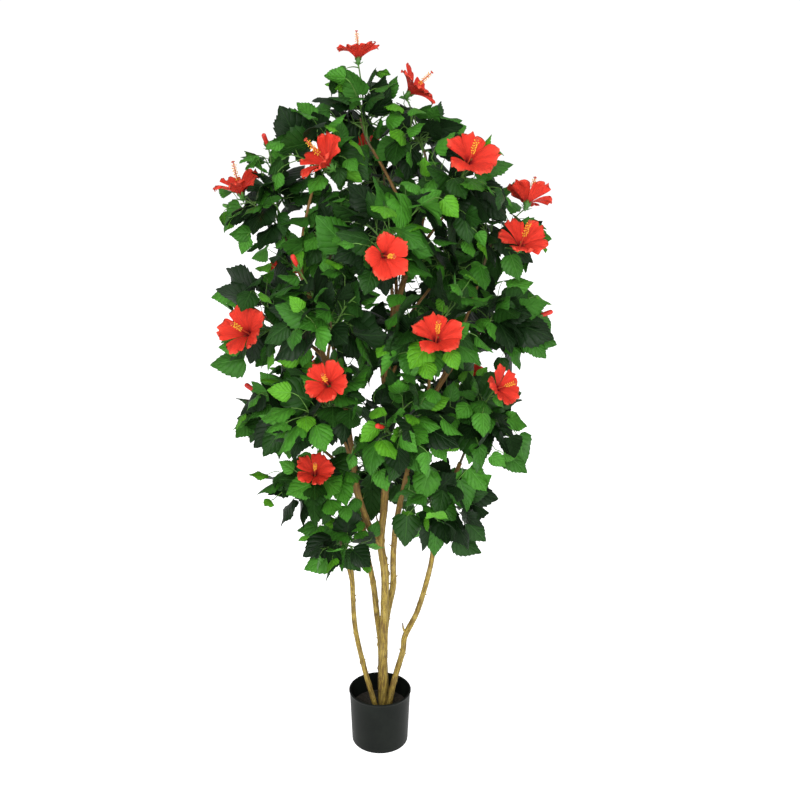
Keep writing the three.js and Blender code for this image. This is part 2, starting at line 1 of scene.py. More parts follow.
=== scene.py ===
"""An artificial hibiscus tree in its pot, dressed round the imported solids: wood stems with knots and bark,
wire twigs, printed fabric leaves, fabric flowers and buds, a moulded pot and its filling.

+Z is up and -Y to the front. The plant's own rule works in millimetres, and meshes are made in metres.
"""

import json
import math

import bmesh
import bpy
import numpy as np
from mathutils import Matrix, Vector, noise

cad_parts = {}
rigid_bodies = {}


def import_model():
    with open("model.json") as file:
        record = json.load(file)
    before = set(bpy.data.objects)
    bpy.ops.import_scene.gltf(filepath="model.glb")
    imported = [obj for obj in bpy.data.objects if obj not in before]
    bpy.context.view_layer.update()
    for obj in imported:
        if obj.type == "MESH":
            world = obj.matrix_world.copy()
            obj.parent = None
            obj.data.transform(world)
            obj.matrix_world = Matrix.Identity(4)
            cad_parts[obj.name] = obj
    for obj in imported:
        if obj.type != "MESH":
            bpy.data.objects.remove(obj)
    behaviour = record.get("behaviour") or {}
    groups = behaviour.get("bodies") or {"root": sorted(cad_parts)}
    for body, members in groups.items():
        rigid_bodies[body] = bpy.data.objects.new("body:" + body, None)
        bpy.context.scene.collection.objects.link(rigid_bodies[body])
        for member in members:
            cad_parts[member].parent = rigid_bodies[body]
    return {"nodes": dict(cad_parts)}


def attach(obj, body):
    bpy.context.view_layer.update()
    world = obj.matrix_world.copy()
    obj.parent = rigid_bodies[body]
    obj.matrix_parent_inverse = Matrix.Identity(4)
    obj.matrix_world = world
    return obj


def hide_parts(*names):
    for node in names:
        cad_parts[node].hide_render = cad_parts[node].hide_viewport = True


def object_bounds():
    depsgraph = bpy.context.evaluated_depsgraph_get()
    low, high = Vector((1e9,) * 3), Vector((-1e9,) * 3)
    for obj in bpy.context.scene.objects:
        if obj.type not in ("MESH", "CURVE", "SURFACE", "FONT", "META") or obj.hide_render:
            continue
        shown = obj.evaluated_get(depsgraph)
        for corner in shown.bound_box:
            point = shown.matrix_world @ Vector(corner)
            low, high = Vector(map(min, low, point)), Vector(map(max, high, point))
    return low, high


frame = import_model()
CAD_LOW, CAD_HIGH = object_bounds()

bl_info = {
    "name": "Hibiscus tree",
    "version": (1, 0, 0),
    "blender": (4, 5, 0),
    "location": "3D View > Sidebar > Hibiscus",
    "description": "Dresses an artificial hibiscus tree in its pot",
    "category": "Object",
}

MM = 0.001
UP = np.array((0.0, 0.0, 1.0))
GOLDEN_ANGLE = math.pi * (3 - math.sqrt(5))
LEAF_MAP = "OFBake"  # the map that leaves and petals carry, the same on each copy

# ---- The plant's own rule: stems, fork and masses, in millimetres ----

GROUND = 100.3  # the stems are cut flat just above the filling

# name: (radius at the foot and at the tip, points that the stem runs through)
STEMS = {
    "trunk": (
        (11.8, 5.8),
        [
            (7.5, 0, GROUND), (7.5, 0, GROUND + 14), (9, 0, 274), (13, 0, 470), (2, 0, 570), (12, 6, 680),
            (17, 15, 860), (19, 15, 1039), (42, 14, 1180), (101, 5, 1388), (108, 5, 1490),
        ],
    ),
    "stem_left": (
        (7, 5.6),
        [
            (-14, -17, GROUND), (-14, -17, GROUND + 12), (-42, -12, 218), (-66, -5, 340), (-74, 0, 490),
            (-92, -12, 560), (-135, -45, 650),
        ],
    ),
    "stem_back": (
        (8.8, 4.8),
        [
            (3, 21, GROUND), (3, 21, GROUND + 14), (2, 23, 262), (-8, 27, 348), (-17, 30, 434),
            (-36, 30, 540), (-62, 75, 720), (-90, 125, 890), (-130, 175, 1085),
        ],
    ),
    "stem_right_back": (
        (9.6, 4.8),
        [
            (14, 38, GROUND), (14, 38, GROUND + 14), (11, 41, 262), (19, 36, 348), (34, 23, 434),
            (34, 12, 500), (36, 3, 560), (47, -20, 664), (99, -50, 899), (150, -55, 1005), (215, -35, 1095),
        ],
    ),
    "stem_right": (
        (8.2, 5.2),
        [
            (24, -15, GROUND), (24, -15, GROUND + 12), (38, -10, 180), (60, -5, 262), (66, -4, 306),
            (99, 0, 379), (128, 0, 491), (145, 0, 600), (165, -12, 690), (198, -28, 790),
        ],
    ),
    "fork_left": (
        (9.2, 4.8),
        [
            (3, 0, 556), (-31, -5, 620), (-62, -28, 735), (-80, -50, 851), (-129, -80, 1053),
            (-157, -80, 1192), (-212, -42, 1320),
        ],
    ),
}

# name: (limb, share of the limb where its bough leaves it, or None at the limb's own tip, heart, reach)
MASSES = {
    "crest": ("trunk", 0.86, (-45, 0, 1608), (125, 132, 120)),
    "crest_right": ("trunk", None, (82, 25, 1570), (122, 142, 117)),
    "upper_left": ("fork_left", 0.9, (-141, -80, 1525), (134, 142, 132)),
    "upper_right": ("trunk", 0.82, (182, -105, 1455), (120, 152, 142)),
    "upper_back": ("trunk", 0.76, (10, 195, 1480), (182, 157, 162)),
    "shoulder_left": ("fork_left", None, (-260, 20, 1430), (134, 162, 146)),
    "shoulder_right": ("stem_right_back", 0.86, (276, 25, 1346), (126, 162, 146)),
    "front_high": ("trunk", 0.72, (17, -215, 1362), (167, 162, 142)),
    "core_left": ("fork_left", 0.8, (-100, -50, 1360), (142, 142, 142)),
    "core_right": ("trunk", 0.68, (165, 10, 1290), (137, 142, 142)),
    "core_low": ("trunk", 0.54, (-5, 110, 1090), (147, 142, 152)),
    "left_middle": ("fork_left", 0.66, (-280, -20, 1160), (130, 167, 138)),
    "front_left": ("fork_left", 0.6, (-107, -225, 1180), (157, 152, 142)),
    "front_right": ("stem_right_back", 0.8, (112, -225, 1165), (162, 157, 142)),
    "right_middle": ("stem_right_back", None, (304, 0, 1130), (128, 162, 130)),
    "back_left": ("stem_back", None, (-190, 235, 1205), (157, 157, 157)),
    "back_right": ("trunk", 0.62, (186, 240, 1195), (157, 157, 152)),
    "left_low": ("fork_left", 0.24, (-238, 0, 905), (130, 167, 143)),
    "front_left_low": ("fork_left", 0.34, (-128, -215, 975), (157, 152, 137)),
    "front_low": ("trunk", 0.44, (33, -215, 930), (157, 157, 137)),
    "right_low": ("stem_right", None, (240, -45, 908), (124, 162, 134)),
    "back_left_low": ("stem_back", 0.66, (-165, 215, 910), (157, 157, 147)),
    "back_right_low": ("trunk", 0.46, (180, 210, 905), (157, 157, 147)),
    "foot_left_front": ("stem_left", None, (-170, -95, 768), (137, 142, 120)),
    "foot_left": ("stem_left", 0.6, (-98, -75, 603), (108, 115, 105)),
    "foot_right": ("stem_right", 0.72, (160, -40, 702), (132, 152, 134)),
    "foot_back": ("trunk", 0.36, (5, 160, 700), (162, 137, 132)),
}

# mass: [(kind, where its rim stands from the heart, turn from the front to the right, rise, size)]
FLOWERS = {
    "crest": [("bloom", (-4, 0, 156), 0, 90, 0.9)],
    "crest_right": [("bloom", (5, 5, 112), 75, 42, 1.06)],
    "upper_left": [("bloom", (17, -120, -5), -57, 40, 1.14)],
    "upper_right": [("bloom", (11, -95, 69), 18, 40, 1.1)],
    "upper_back": [("bloom", (-60, 105, 80), 200, 35, 1.0)],
    "shoulder_left": [("bloom", (-70, -20, 33), -50, 72, 1.14), ("bud", (-10, -20, 150), -30, 60, 0.85)],
    "shoulder_right": [("bloom", (74, -15, 92), 150, 56, 1.07), ("bloom", (44, -135, -1), 14, 52, 1.12)],
    "front_high": [("bloom", (1, -135, -36), 22, 0, 0.9)],
    "left_middle": [("bloom", (-30, -120, -18), -29, 29, 1.14)],
    "front_left": [("bud", (-82, -5, 145), -40, 60, 0.85)],
    "front_right": [("bloom", (6, -120, 6), 8, 48, 1.0)],
    "right_middle": [("bud", (114, -10, 36), 76, 20, 0.9)],
    "back_left": [("bloom", (-70, 110, 20), 215, 20, 1.0)],
    "back_right": [("bloom", (50, 115, 30), 160, 15, 1.0)],
    "left_low": [("bud", (-105, 80, 60), 250, 30, 1.0)],
    "front_left_low": [("bloom", (14, -115, 93), -12, 31, 0.92)],
    "front_low": [("bud", (-44, -115, 42), -30, 20, 0.85)],
    "right_low": [("bloom", (45, -125, 113), 44, 27, 0.92)],
    "back_left_low": [("bloom", (-60, 115, 50), 205, 30, 1.0)],
    "back_right_low": [("bloom", (80, 95, 40), 140, 35, 1.0)],
    "foot_left_front": [("bloom", (23, -125, 73), 4, 50, 0.84)],
    "foot_back": [("bloom", (30, 110, 30), 175, 25, 1.0)],
}

# Leaves that stand out by themselves at the crown's edge, on long stalks.
# mass: [(root of the blade, turn from the front to the right, rise, length, which of the five greens)]
LONE_LEAVES = {
    "left_middle": [((-322, -60, 1058), -92, -9, 84, 2), ((-350, -20, 1215), -90, -11, 58, 3)],
    "shoulder_left": [((-298, -50, 1353), -90, 2, 54, 2), ((-308, -55, 1343), -60, -70, 42, 3)],
    "right_middle": [((384, 0, 1150), 90, -46, 58, 2), ((300, -30, 1224), 80, 14, 62, 3)],
    "right_low": [((335, -50, 865), 80, -72, 86, 2), ((305, -55, 824), 75, -38, 74, 2)],
    "foot_right": [
        ((188, -60, 602), 80, -26, 74, 1),
        ((217, -60, 645), 80, -42, 70, 1),
        ((66, -90, 674), -20, -78, 84, 1),
        ((118, -95, 792), -40, -62, 80, 3),
        ((192, -95, 768), 30, -60, 80, 2),
        ((146, -90, 716), 50, -52, 76, 2),
        ((215, -85, 795), 55, -40, 70, 3),
    ],
    "foot_left": [((-120, -85, 567), -85, -24, 80, 3), ((-88, -85, 577), 60, -40, 62, 1)],
    "upper_left": [((-180, -45, 1606), -85, 6, 46, 3)],
    "crest": [((-76, -25, 1712), -85, -24, 44, 2)],
}

BOUGH_RADII = (4.6, 3.2)
BOUGH_LEAVE = 0.4  # how far along its run a bough bends away from its limb
BOUGH_ENTRY = 0.6  # a bough ends this share of the mass's reach short of its heart
MASS_STEM_RADII = (3.4, 2.8)
TWIG_COUNT = 6
TWIG_RADII = (2.4, 1.7)
TWIG_FROM, TWIG_OVER = 0.3, 0.62  # where on a mass's stem the first twig leaves it, and over how much all do
TWIG_SPREAD = 0.45
TWIG_LIFT = 0.15
SHOOT_RADII = (1.5, 0.9)
FLOWERING_SHOOTS = (0.35, 0.62, 0.85)  # shares of a flower's twig where shoots leave it
LEAFY_SHOOTS = (0.3, 0.52, 0.74, 1.0)  # and of any other twig
TWIG_LEAVES_FROM, SHOOT_LEAVES_FROM = 0.32, 0.12  # the share of a twig or a shoot where its first leaf stands
LAST_BELOW_FLOWER = 0.86  # the share of a flower's twig where its last leaf stands
STALK_RADII = (1.15, 0.95, 0.9, 0.8)
LONE_STALK_RADII = np.linspace(1.5, 0.85, 8)
LEAF_TRIES, LEAF_SHRINK, LEAF_TURN = 7, 0.05, 0.9  # a leaf that finds no room is turned on and made smaller
SHOOT_TRIES, SHOOT_SHRINK, SHOOT_TURN = 4, 0.12, 1.3
BLADE_SPOTS = ((0.3, 0.4), (0.3, -0.4), (0.45, 0), (0.55, 0.33), (0.55, -0.33), (0.8, 0), (1.0, 0))
BLADE_MIDDLE = 2  # the one of these places, as shares of the length along and across, that is a leaf's middle
GREEN_LIMITS = (0.85, 1.14, 1.42, 1.82)  # how much light a leaf has where each next green starts
BARE_SHOOT = 0.3  # how much of a shoot is drawn where it bears no leaf
PAST_LAST_LEAF = 0.02

# How much a growing thing goes to its own side, on along what bears it, out of the mass and up
SHOOT_WAY = (0.9, 0.6, 0.45, 0.25)
END_SHOOT_WAY = (0.35, 0.6, 0.45, 0.25)
STALK_WAY = (0.9, 0.45, 0.5, 0.15)
SHOOT_LENGTHS = (0.34, 0.5)  # of the mass's mean reach
OLD_LEAF, YOUNG_LEAF_LESS, LEAF_LENGTHS = 1.12, 0.42, (0.74, 1.16)  # of the full grown length
OLD_STALK, YOUNG_STALK_LESS, STALK_LENGTHS = 1.1, 0.45, (0.8, 1.2)  # of the usual length
HANG, SKYWARD = (-0.2, 1.0), (0.2, 0.9)  # how much blades hang, and how much they face the sky
POINT_STRAY, FACE_STRAY = 0.25, 0.4
# a leaf's green is partly its own tone, by spray and age, and partly painted shade: darker the further inside
# its mass it stands
BY_SPRAY, BY_REACH, BY_AGE, GREEN_STRAY = 0.9, 0.75, 0.55, 0.16  # what a leaf's green follows
STALK_LIFT, LONE_STALK_LIFT = 0.12, 0.16
LEAF_REACH, SHOOT_REACH = 1.07, 0.84  # how far out in its mass a leaf or a shoot may stand, by its reach
BORDER, LEAF_BORDER = 0.6, -9  # how far wood keeps, and a leaf may pass, from the border with the next mass

# How deep each kind of flower is, how far up its axis its middle lies, and the room that the leaves give it
DEPTH = {"bloom": 40, "bud": 46}
MIDDLE = {"bloom": 35, "bud": 25}
ROOM = {"bloom": 50, "bud": 24}
BLOOM_RADIUS, COLUMN_LENGTH = 54, 78
SEEN_FROM = 60  # a flower this far behind the trunk or further may be hidden from the front
CLEAR_DEPTH, CLEAR_ROOM = 200, 0.84  # how far before a flower no leaf grows, and over how much of its room

OBSTACLE_STEP = 6
PROUD = 16  # how far a leaf may stand outside the solids' own box

# ---- Curves ----


def unit(v):
    v = np.asarray(v, float)
    return v / max(np.linalg.norm(v), 1e-12)


def turned_about(v, axis, angle):
    """v turned about a unit axis, by the right-hand rule."""
    c, s = math.cos(angle), math.sin(angle)
    return v * c + np.cross(axis, v) * s + axis * (axis @ v) * (1 - c)


class Run:
    """A curve that is asked for its points by the share of its length."""

    def __init__(self, point):
        self.point = point
        self.t = np.linspace(0, 1, 201)
        steps = np.linalg.norm(np.diff(point(self.t), axis=0), axis=1)
        self.along = np.concatenate([[0], np.cumsum(steps)])
        self.length = self.along[-1]

    def at(self, share):
        t = np.interp(np.atleast_1d(share) * self.length, self.along, self.t)
        points = self.point(t)
        return points if np.ndim(share) else points[0]

    def tangent(self, share):
        t = np.interp(share * self.length, self.along, self.t)
        ends = self.point(np.array([max(t - 1e-4, 0), min(t + 1e-4, 1)]))
        return unit(ends[1] - ends[0])


def bent(foot, bend, tip):
    """A quadratic curve from foot to tip."""
    a, b, c = (np.asarray(p, float) for p in (foot, bend, tip))

    def point(t):
        t = t[:, None]
        return (1 - t) ** 2 * a + 2 * (1 - t) * t * b + t * t * c

    return Run(point)


def through(knots):
    """An even Catmull-Rom curve through its knots."""
    p = np.array(knots, float)
    p = np.vstack([2 * p[0] - p[1], p, 2 * p[-1] - p[-2]])
    spans = len(p) - 3

    def point(t):
        where = np.clip(t * spans, 0, spans)
        i = np.minimum(where.astype(int), spans - 1)
        w = (where - i)[:, None]
        a, b, c, d = p[i], p[i + 1], p[i + 2], p[i + 3]
        leave, arrive = (c - a) / 2, (d - b) / 2
        cubic = 2 * b - 2 * c + leave + arrive
        square = -3 * b + 3 * c - 2 * leave - arrive
        return cubic * w**3 + square * w**2 + leave * w + b

    return Run(point)


def way_of(weights, side, tangent, out):
    to_side, onwards, outwards, upwards = weights
    return unit(side * to_side + tangent * onwards + out * outwards + UP * upwards)


def facing(turn, rise):
    t, r = math.radians(turn), math.radians(rise)
    return np.array((math.sin(t) * math.cos(r), -math.cos(t) * math.cos(r), math.sin(r)))


# ---- Growth ----


class Growth:
    """The whole plant's limbs, twigs, leaves and flowers, in millimetres, grown once by the rule."""

    def __init__(self, sizes):
        self.sizes = sizes
        self.names = list(MASSES)
        self.hearts = np.array([heart for _, _, heart, _ in MASSES.values()], float)
        self.reaches = np.array([reach for _, _, _, reach in MASSES.values()], float)
        self.weights = self.reaches.mean(axis=1) ** 2
        between_hearts = self.hearts[:, None] - self.hearts[None]
        self.apart = np.linalg.norm(between_hearts, axis=2) + np.eye(len(self.names))  # never 0
        self.low, self.high = np.array(CAD_LOW) / MM, np.array(CAD_HIGH) / MM
        self.obstacles = []  # (points, radii, owner)
        self.limbs = {}
        for name, (radii, knots) in STEMS.items():
            self.add_limb(name, through(knots), radii)
        for name, (limb, at, heart, reach) in MASSES.items():
            if at is not None:
                self.add_limb("bough_" + name, self.bough(limb, at, heart, reach), BOUGH_RADII)
        self.strands = []  # (points, radii, kind)
        self.leaves = []  # (root of the blade, along, face, length, which of the five greens)
        self.flowers = []  # (kind, foot, axis, size)
        self.centres = np.zeros((0, 3))
        self.frames = {name: self.frame_of(name) for name in self.names}
        self.knit()
        for index, name in enumerate(self.names):
            self.grow_mass(index, name)

    def add_limb(self, name, run, radii):
        self.limbs[name] = (run, radii)
        self.add_obstacle(name, run, radii)

    def add_obstacle(self, owner, run, radii):
        count = math.ceil(run.length / OBSTACLE_STEP)
        share = np.linspace(0, 1, count + 1)
        self.obstacles.append((run.at(share), radii[0] + (radii[1] - radii[0]) * share, owner))

    def add_strand(self, run, last, count, radii, kind):
        """Adds a run from its foot to the share last of its length, by count points."""
        share = np.linspace(0, last, count)
        self.strands.append((run.at(share), np.interp(share, [0, 1], radii), kind))

    def bough(self, limb, at, heart, reach):
        parent = self.limbs[limb][0]
        foot = parent.at(at)
        way = unit(np.array(heart) - foot)
        tip = np.array(heart) - way * BOUGH_ENTRY * np.mean(reach)
        leaving = unit(parent.tangent(at) + way)
        return bent(foot, foot + leaving * BOUGH_LEAVE * np.linalg.norm(tip - foot), tip)

    def knit(self):
        """Puts all that the foliage keeps clear of into arrays."""
        self.kept = np.vstack([points for points, _, _ in self.obstacles])
        self.kept_radius = np.concatenate([radii for _, radii, _ in self.obstacles])
        self.kept_owner = np.concatenate([[owner] * len(points) for points, _, owner in self.obstacles])

    def frame_of(self, name):
        """A mass's stem and its flowers' twigs."""
        limb, at, heart, _ = MASSES[name]
        run = self.limbs[limb if at is None else "bough_" + name][0]
        foot, tangent = run.at(1.0), run.tangent(1.0)
        heart = np.array(heart, float)
        stem = bent(foot, foot + tangent * np.linalg.norm(heart - foot) / 2, heart)
        self.add_obstacle(name, stem, MASS_STEM_RADII)
        twigs = []
        for i, (kind, where, turn, rise, size) in enumerate(FLOWERS.get(name, [])):
            axis = facing(turn, rise)
            foot = heart + np.array(where) - axis * DEPTH[kind]
            twig = self.twig_to(stem, self.twig_share(i), foot + axis * 2)
            self.add_obstacle(name, twig, TWIG_RADII)
            self.flowers.append((kind, foot, axis, size))
            twigs.append(twig)
        return stem, twigs

    @staticmethod
    def twig_share(i):
        return TWIG_FROM + TWIG_OVER * i / (TWIG_COUNT - 1)

    @staticmethod
    def twig_to(stem, share, tip):
        foot = stem.at(share)
        bend = (foot + tip) / 2
        bend[2] += TWIG_LIFT * np.linalg.norm(tip - foot)
        return bent(foot, bend, tip)

    # What a growing thing keeps clear of

    def in_space(self, index, points, margin=BORDER):
        """Whether points are nearer to their own mass than to any other, by their reach."""
        points = np.atleast_2d(points)
        power = ((points[:, None] - self.hearts[None]) ** 2).sum(axis=2) - self.weights
        border = (power - power[:, index : index + 1]) / (2 * self.apart[index])
        border[:, index] = np.inf
        return bool((border > margin).all())

    def in_reach(self, index, points, share):
        away = (np.atleast_2d(points) - self.hearts[index]) / self.reaches[index]
        return bool((np.linalg.norm(away, axis=1) <= share).all())

    def in_bloom(self, points, margin=3.0):
        for kind, foot, axis, _ in self.flowers:
            if kind == "bloom":
                away = points - foot
                height = away @ axis
                wide = np.linalg.norm(away - height[:, None] * axis, axis=1)
                cup = BLOOM_RADIUS * np.clip(height / DEPTH[kind], 0, 1) + margin
                if ((height > 0) & (height < COLUMN_LENGTH) & (wide < cup)).any():
                    return True
        return False

    def hides_bloom(self, points):
        """Whether a leaf crowds a flower, or hides it from the front."""
        for kind, foot, axis, _ in self.flowers:
            middle = foot + axis * MIDDLE[kind]
            away = points - middle
            if (np.linalg.norm(away, axis=1) < ROOM[kind]).any():
                return True
            before = (away[:, 1] < 0) & (away[:, 1] > -CLEAR_DEPTH)
            beside = np.hypot(away[:, 0], away[:, 2])
            if middle[1] < SEEN_FROM and (before & (beside < ROOM[kind] * CLEAR_ROOM)).any():
                return True
        return False

    def touches(self, points, margin, owner=None):
        near = ((points[:, None] - self.kept[None]) ** 2).sum(axis=2) < (self.kept_radius + margin) ** 2
        if owner is not None:
            near &= self.kept_owner != owner
        return bool(near.any())

    # Twigs, shoots and leaves

    def spread(self, index, i, count):
        """Which way a mass's twigs go: evenly all round, first out from the crown's middle."""
        heart, reach = self.hearts[index], self.reaches[index]
        rise = 0.85 - 1.7 * (i + 0.5) / count
        around = math.atan2(heart[1], heart[0]) + (i - count // 2) * GOLDEN_ANGLE
        level = math.sqrt(1 - rise * rise)
        return np.array((math.cos(around) * level, math.sin(around) * level, rise)) * reach

    def twig_fits(self, index, twig):
        points = twig.at(np.linspace(0, 1, 9))[2:]
        if self.in_bloom(points) or not self.in_space(index, points):
            return False
        return not self.touches(points, TWIG_RADII[0] + 3, self.names[index])

    def grow_mass(self, index, name):
        """Grows a mass's stem, its twigs, the shoots on them and the leaves on both."""
        rng = np.random.default_rng(400 + index)
        stem, flower_twigs = self.frames[name]
        self.add_strand(stem, 1, 9, MASS_STEM_RADII, "wood")
        twigs = [(twig, True) for twig in flower_twigs]
        count = TWIG_COUNT - len(twigs)
        for i in range(count):
            share = self.twig_share(i + len(flower_twigs))
            for part in (1, 0.75):
                out = self.spread(index, i, count) * part * TWIG_SPREAD
                twig = self.twig_to(stem, share, self.hearts[index] + out)
                if self.twig_fits(index, twig):
                    twigs.append((twig, False))
                    break
        shoots = []
        for twig, flowering in twigs:
            self.add_strand(twig, 1, 8, TWIG_RADII, "shoot")
            turn = rng.uniform(0, 2 * math.pi)
            for k, start in enumerate(FLOWERING_SHOOTS if flowering else LEAFY_SHOOTS):
                shoot = self.shoot_from(index, twig, start, turn + k * GOLDEN_ANGLE, rng)
                if shoot is not None:
                    shoots.append(shoot)
        for leaf in LONE_LEAVES.get(name, []):
            self.lone_leaf([twig for twig, _ in twigs], *leaf)
        for twig, flowering in twigs:
            self.leaves_along(index, twig, TWIG_LEAVES_FROM, LAST_BELOW_FLOWER if flowering else 1.0, rng)
        for shoot in shoots:
            last = self.leaves_along(index, shoot, SHOOT_LEAVES_FROM, 1.0, rng)
            self.add_strand(shoot, last, 6, SHOOT_RADII, "shoot")

    def shoot_from(self, index, twig, start, turn, rng):
        """A shoot that leaves a twig out into its mass, or None where it finds no room."""
        foot, tangent = twig.at(float(start)), twig.tangent(start)
        mean = self.reaches[index].mean()
        out = unit(foot - self.hearts[index] + 1e-3)
        across = unit(np.cross(tangent, UP) + 1e-6)
        for k in range(SHOOT_TRIES):
            side = turned_about(across, tangent, turn + k * SHOOT_TURN)
            way = way_of(SHOOT_WAY if start < 1 else END_SHOOT_WAY, side, tangent, out)
            length = mean * rng.uniform(*SHOOT_LENGTHS) * (1 - SHOOT_SHRINK * k)
            shoot = bent(foot, foot + way * length * 0.5 + UP * length * 0.1, foot + way * length)
            points = shoot.at(np.linspace(0.3, 1, 5))
            if (
                self.in_reach(index, points, SHOOT_REACH)
                and self.in_space(index, points)
                and not self.in_bloom(points, 6)
                and not self.touches(points, 4, self.names[index])
            ):
                return shoot
        return None

    def leaves_along(self, index, shoot, first, last, rng):
        """Grows leaves from the share first of a shoot to last. Gives the share that its last leaf needs."""
        sizes, heart = self.sizes, self.hearts[index]
        spacing = sizes.leaf_spacing / MM
        count = max(2, round(shoot.length * (1 - first) / spacing))
        outward = unit((heart[0], heart[1], 0))
        first_turn = rng.uniform(0, 2 * math.pi)
        spray = rng.uniform()
        reached = BARE_SHOOT
        for k, share in enumerate(np.linspace(first, last, count)):
            foot, tangent = shoot.at(float(share)), shoot.tangent(share)
            out = unit(unit(foot - heart) + outward * 0.9)
            across = unit(np.cross(tangent, UP) + 1e-6)
            young = (share - first) / (last - first)
            length = sizes.leaf_length / MM * (OLD_LEAF - YOUNG_LEAF_LESS * young**1.5)
            length *= rng.uniform(*LEAF_LENGTHS)
            stalk = sizes.stalk_length / MM * (OLD_STALK - YOUNG_STALK_LESS * young)
            stalk *= rng.uniform(*STALK_LENGTHS)
            for turn in range(LEAF_TRIES):
                scale = 1 - LEAF_SHRINK * turn
                side = turned_about(across, tangent, first_turn + k * GOLDEN_ANGLE + turn * LEAF_TURN)
                way = way_of(STALK_WAY, side, tangent, out)
                root = foot + way * stalk * scale
                along, face = self.hung(way, out, rng)
                if self.leaf_fits(index, root, self.blade_points(root, along, face, length * scale)):
                    green = self.green(index, root, young, spray, rng)
                    leaf = (root, along, face, length * scale, green)
                    self.add_leaf(foot, leaf, stalk * STALK_LIFT, STALK_RADII)
                    reached = share
                    break
        return min(1.0, reached + PAST_LAST_LEAF)

    def lone_leaf(self, twigs, root, turn, rise, length, green):
        """Adds a leaf at a set place, on a long stalk from the nearest spot of the mass's twigs."""
        root, along = np.array(root, float), facing(turn, rise)
        spots = np.vstack([twig.at(np.linspace(0.2, 1, 14)) for twig in twigs])
        foot = spots[np.argmin(np.linalg.norm(spots - root, axis=1))]
        face = np.array((0.15 * along[0], -0.8, 0.5))
        face = unit(face - along * (face @ along))
        lift = LONE_STALK_LIFT * np.linalg.norm(root - foot)
        self.add_leaf(foot, (root, along, face, length, green), lift, LONE_STALK_RADII)

    def add_leaf(self, foot, leaf, lift, radii):
        """Adds a leaf and its stalk, which arches up from its foot to the root of the blade."""
        root = leaf[0]
        self.leaves.append(leaf)
        self.centres = np.vstack([self.centres, self.blade_points(*leaf[:4])[BLADE_MIDDLE]])
        stalk = bent(foot, (foot + root) / 2 + UP * lift, root)
        self.strands.append((stalk.at(np.linspace(0, 1, len(radii))), radii, "stalk"))

    @staticmethod
    def hung(way, out, rng):
        """Which way the blade on a stalk points and faces: it hangs, and turns to the light."""
        hang = rng.uniform(*HANG)
        along = unit(way * 0.85 + out * 0.3 - UP * hang + rng.normal(0, POINT_STRAY, 3))
        face = out * 0.7 + UP * rng.uniform(*SKYWARD) + rng.normal(0, FACE_STRAY, 3)
        return along, unit(face - along * (face @ along))

    @staticmethod
    def blade_points(root, along, face, length):
        side = np.cross(along, face)
        return np.array([root + along * y * length + side * x * length for y, x in BLADE_SPOTS])

    def leaf_fits(self, index, root, blade):
        if not self.in_reach(index, blade, LEAF_REACH) or not self.in_space(index, blade, LEAF_BORDER):
            return False
        if (blade < self.low - PROUD).any() or (blade > self.high + PROUD).any():
            return False
        if self.in_bloom(np.vstack([blade, [root]]), 8) or self.hides_bloom(blade):
            return False
        if len(self.centres):
            gap = np.linalg.norm(self.centres - blade[BLADE_MIDDLE], axis=1).min()
            if gap < self.sizes.leaf_clearance / MM:
                return False
        return not self.touches(blade, 2.0)

    def green(self, index, root, young, spray, rng):
        """Which of the five greens a leaf has: darker inside the crown as painted shade, lime on the
        youngest.
        """
        away = np.linalg.norm((root - self.hearts[index]) / self.reaches[index])
        light = BY_SPRAY * spray + BY_REACH * away + BY_AGE * young + rng.normal(0, GREEN_STRAY)
        return int(np.digitize(light, GREEN_LIMITS))


_grown = {}


def growth():
    if "plant" not in _grown:
        _grown["plant"] = Growth(bpy.context.scene.hibiscus_sizes)
    return _grown["plant"]


# ---- Mesh helpers ----


def linked(name, mesh):
    piece = bpy.data.objects.new(name, mesh)
    bpy.context.scene.collection.objects.link(piece)
    return piece


def mesh_of(name, points, faces, uvs=None, smooth=True):
    """A mesh from points in metres. uvs holds one place for each point, or for each corner of each face."""
    mesh = bpy.data.meshes.new(name)
    mesh.from_pydata([tuple(p) for p in points], [], [tuple(int(i) for i in f) for f in faces])
    if uvs is not None:
        layer = mesh.uv_layers.new(name=LEAF_MAP)
        corners = np.zeros(len(mesh.loops), int)
        mesh.loops.foreach_get("vertex_index", corners)
        places = np.asarray(uvs, float)
        if len(places) == len(points):
            places = places[corners]
        layer.data.foreach_set("uv", places.ravel())
    mesh.polygons.foreach_set("use_smooth", [smooth] * len(mesh.polygons))
    mesh.update()
    return mesh


def mark_sharp(mesh, edges):
    """Marks the edges between these pairs of vertices as sharp."""
    wanted = {frozenset((int(a), int(b))) for a, b in edges}
    ends = np.zeros(len(mesh.edges) * 2, int)
    mesh.edges.foreach_get("vertices", ends)
    flags = [frozenset(pair) in wanted for pair in ends.reshape(-1, 2).tolist()]
    attribute = mesh.attributes.new("sharp_edge", "BOOLEAN", "EDGE")
    attribute.data.foreach_set("value", flags)


def grid_faces(rows, columns, closed_round=False, first=0):
    """Quads of a grid of rows by columns of points, wound so that they face along row x column."""
    faces = []
    for i in range(rows - 1):
        for j in range(columns if closed_round else columns - 1):
            k = (j + 1) % columns
            a, b = first + i * columns, first + (i + 1) * columns
            faces.append((a + j, a + k, b + k, b + j))
    return faces


def capped_faces(rings, sides):
    """Faces of rings of points that stand between a first and a last point, which close the two ends."""
    last, end = 1 + (rings - 1) * sides, 1 + rings * sides
    faces = [(0, 1 + (j + 1) % sides, 1 + j) for j in range(sides)]
    faces += grid_faces(rings, sides, True, 1)
    return faces + [(last + j, last + (j + 1) % sides, end) for j in range(sides)]


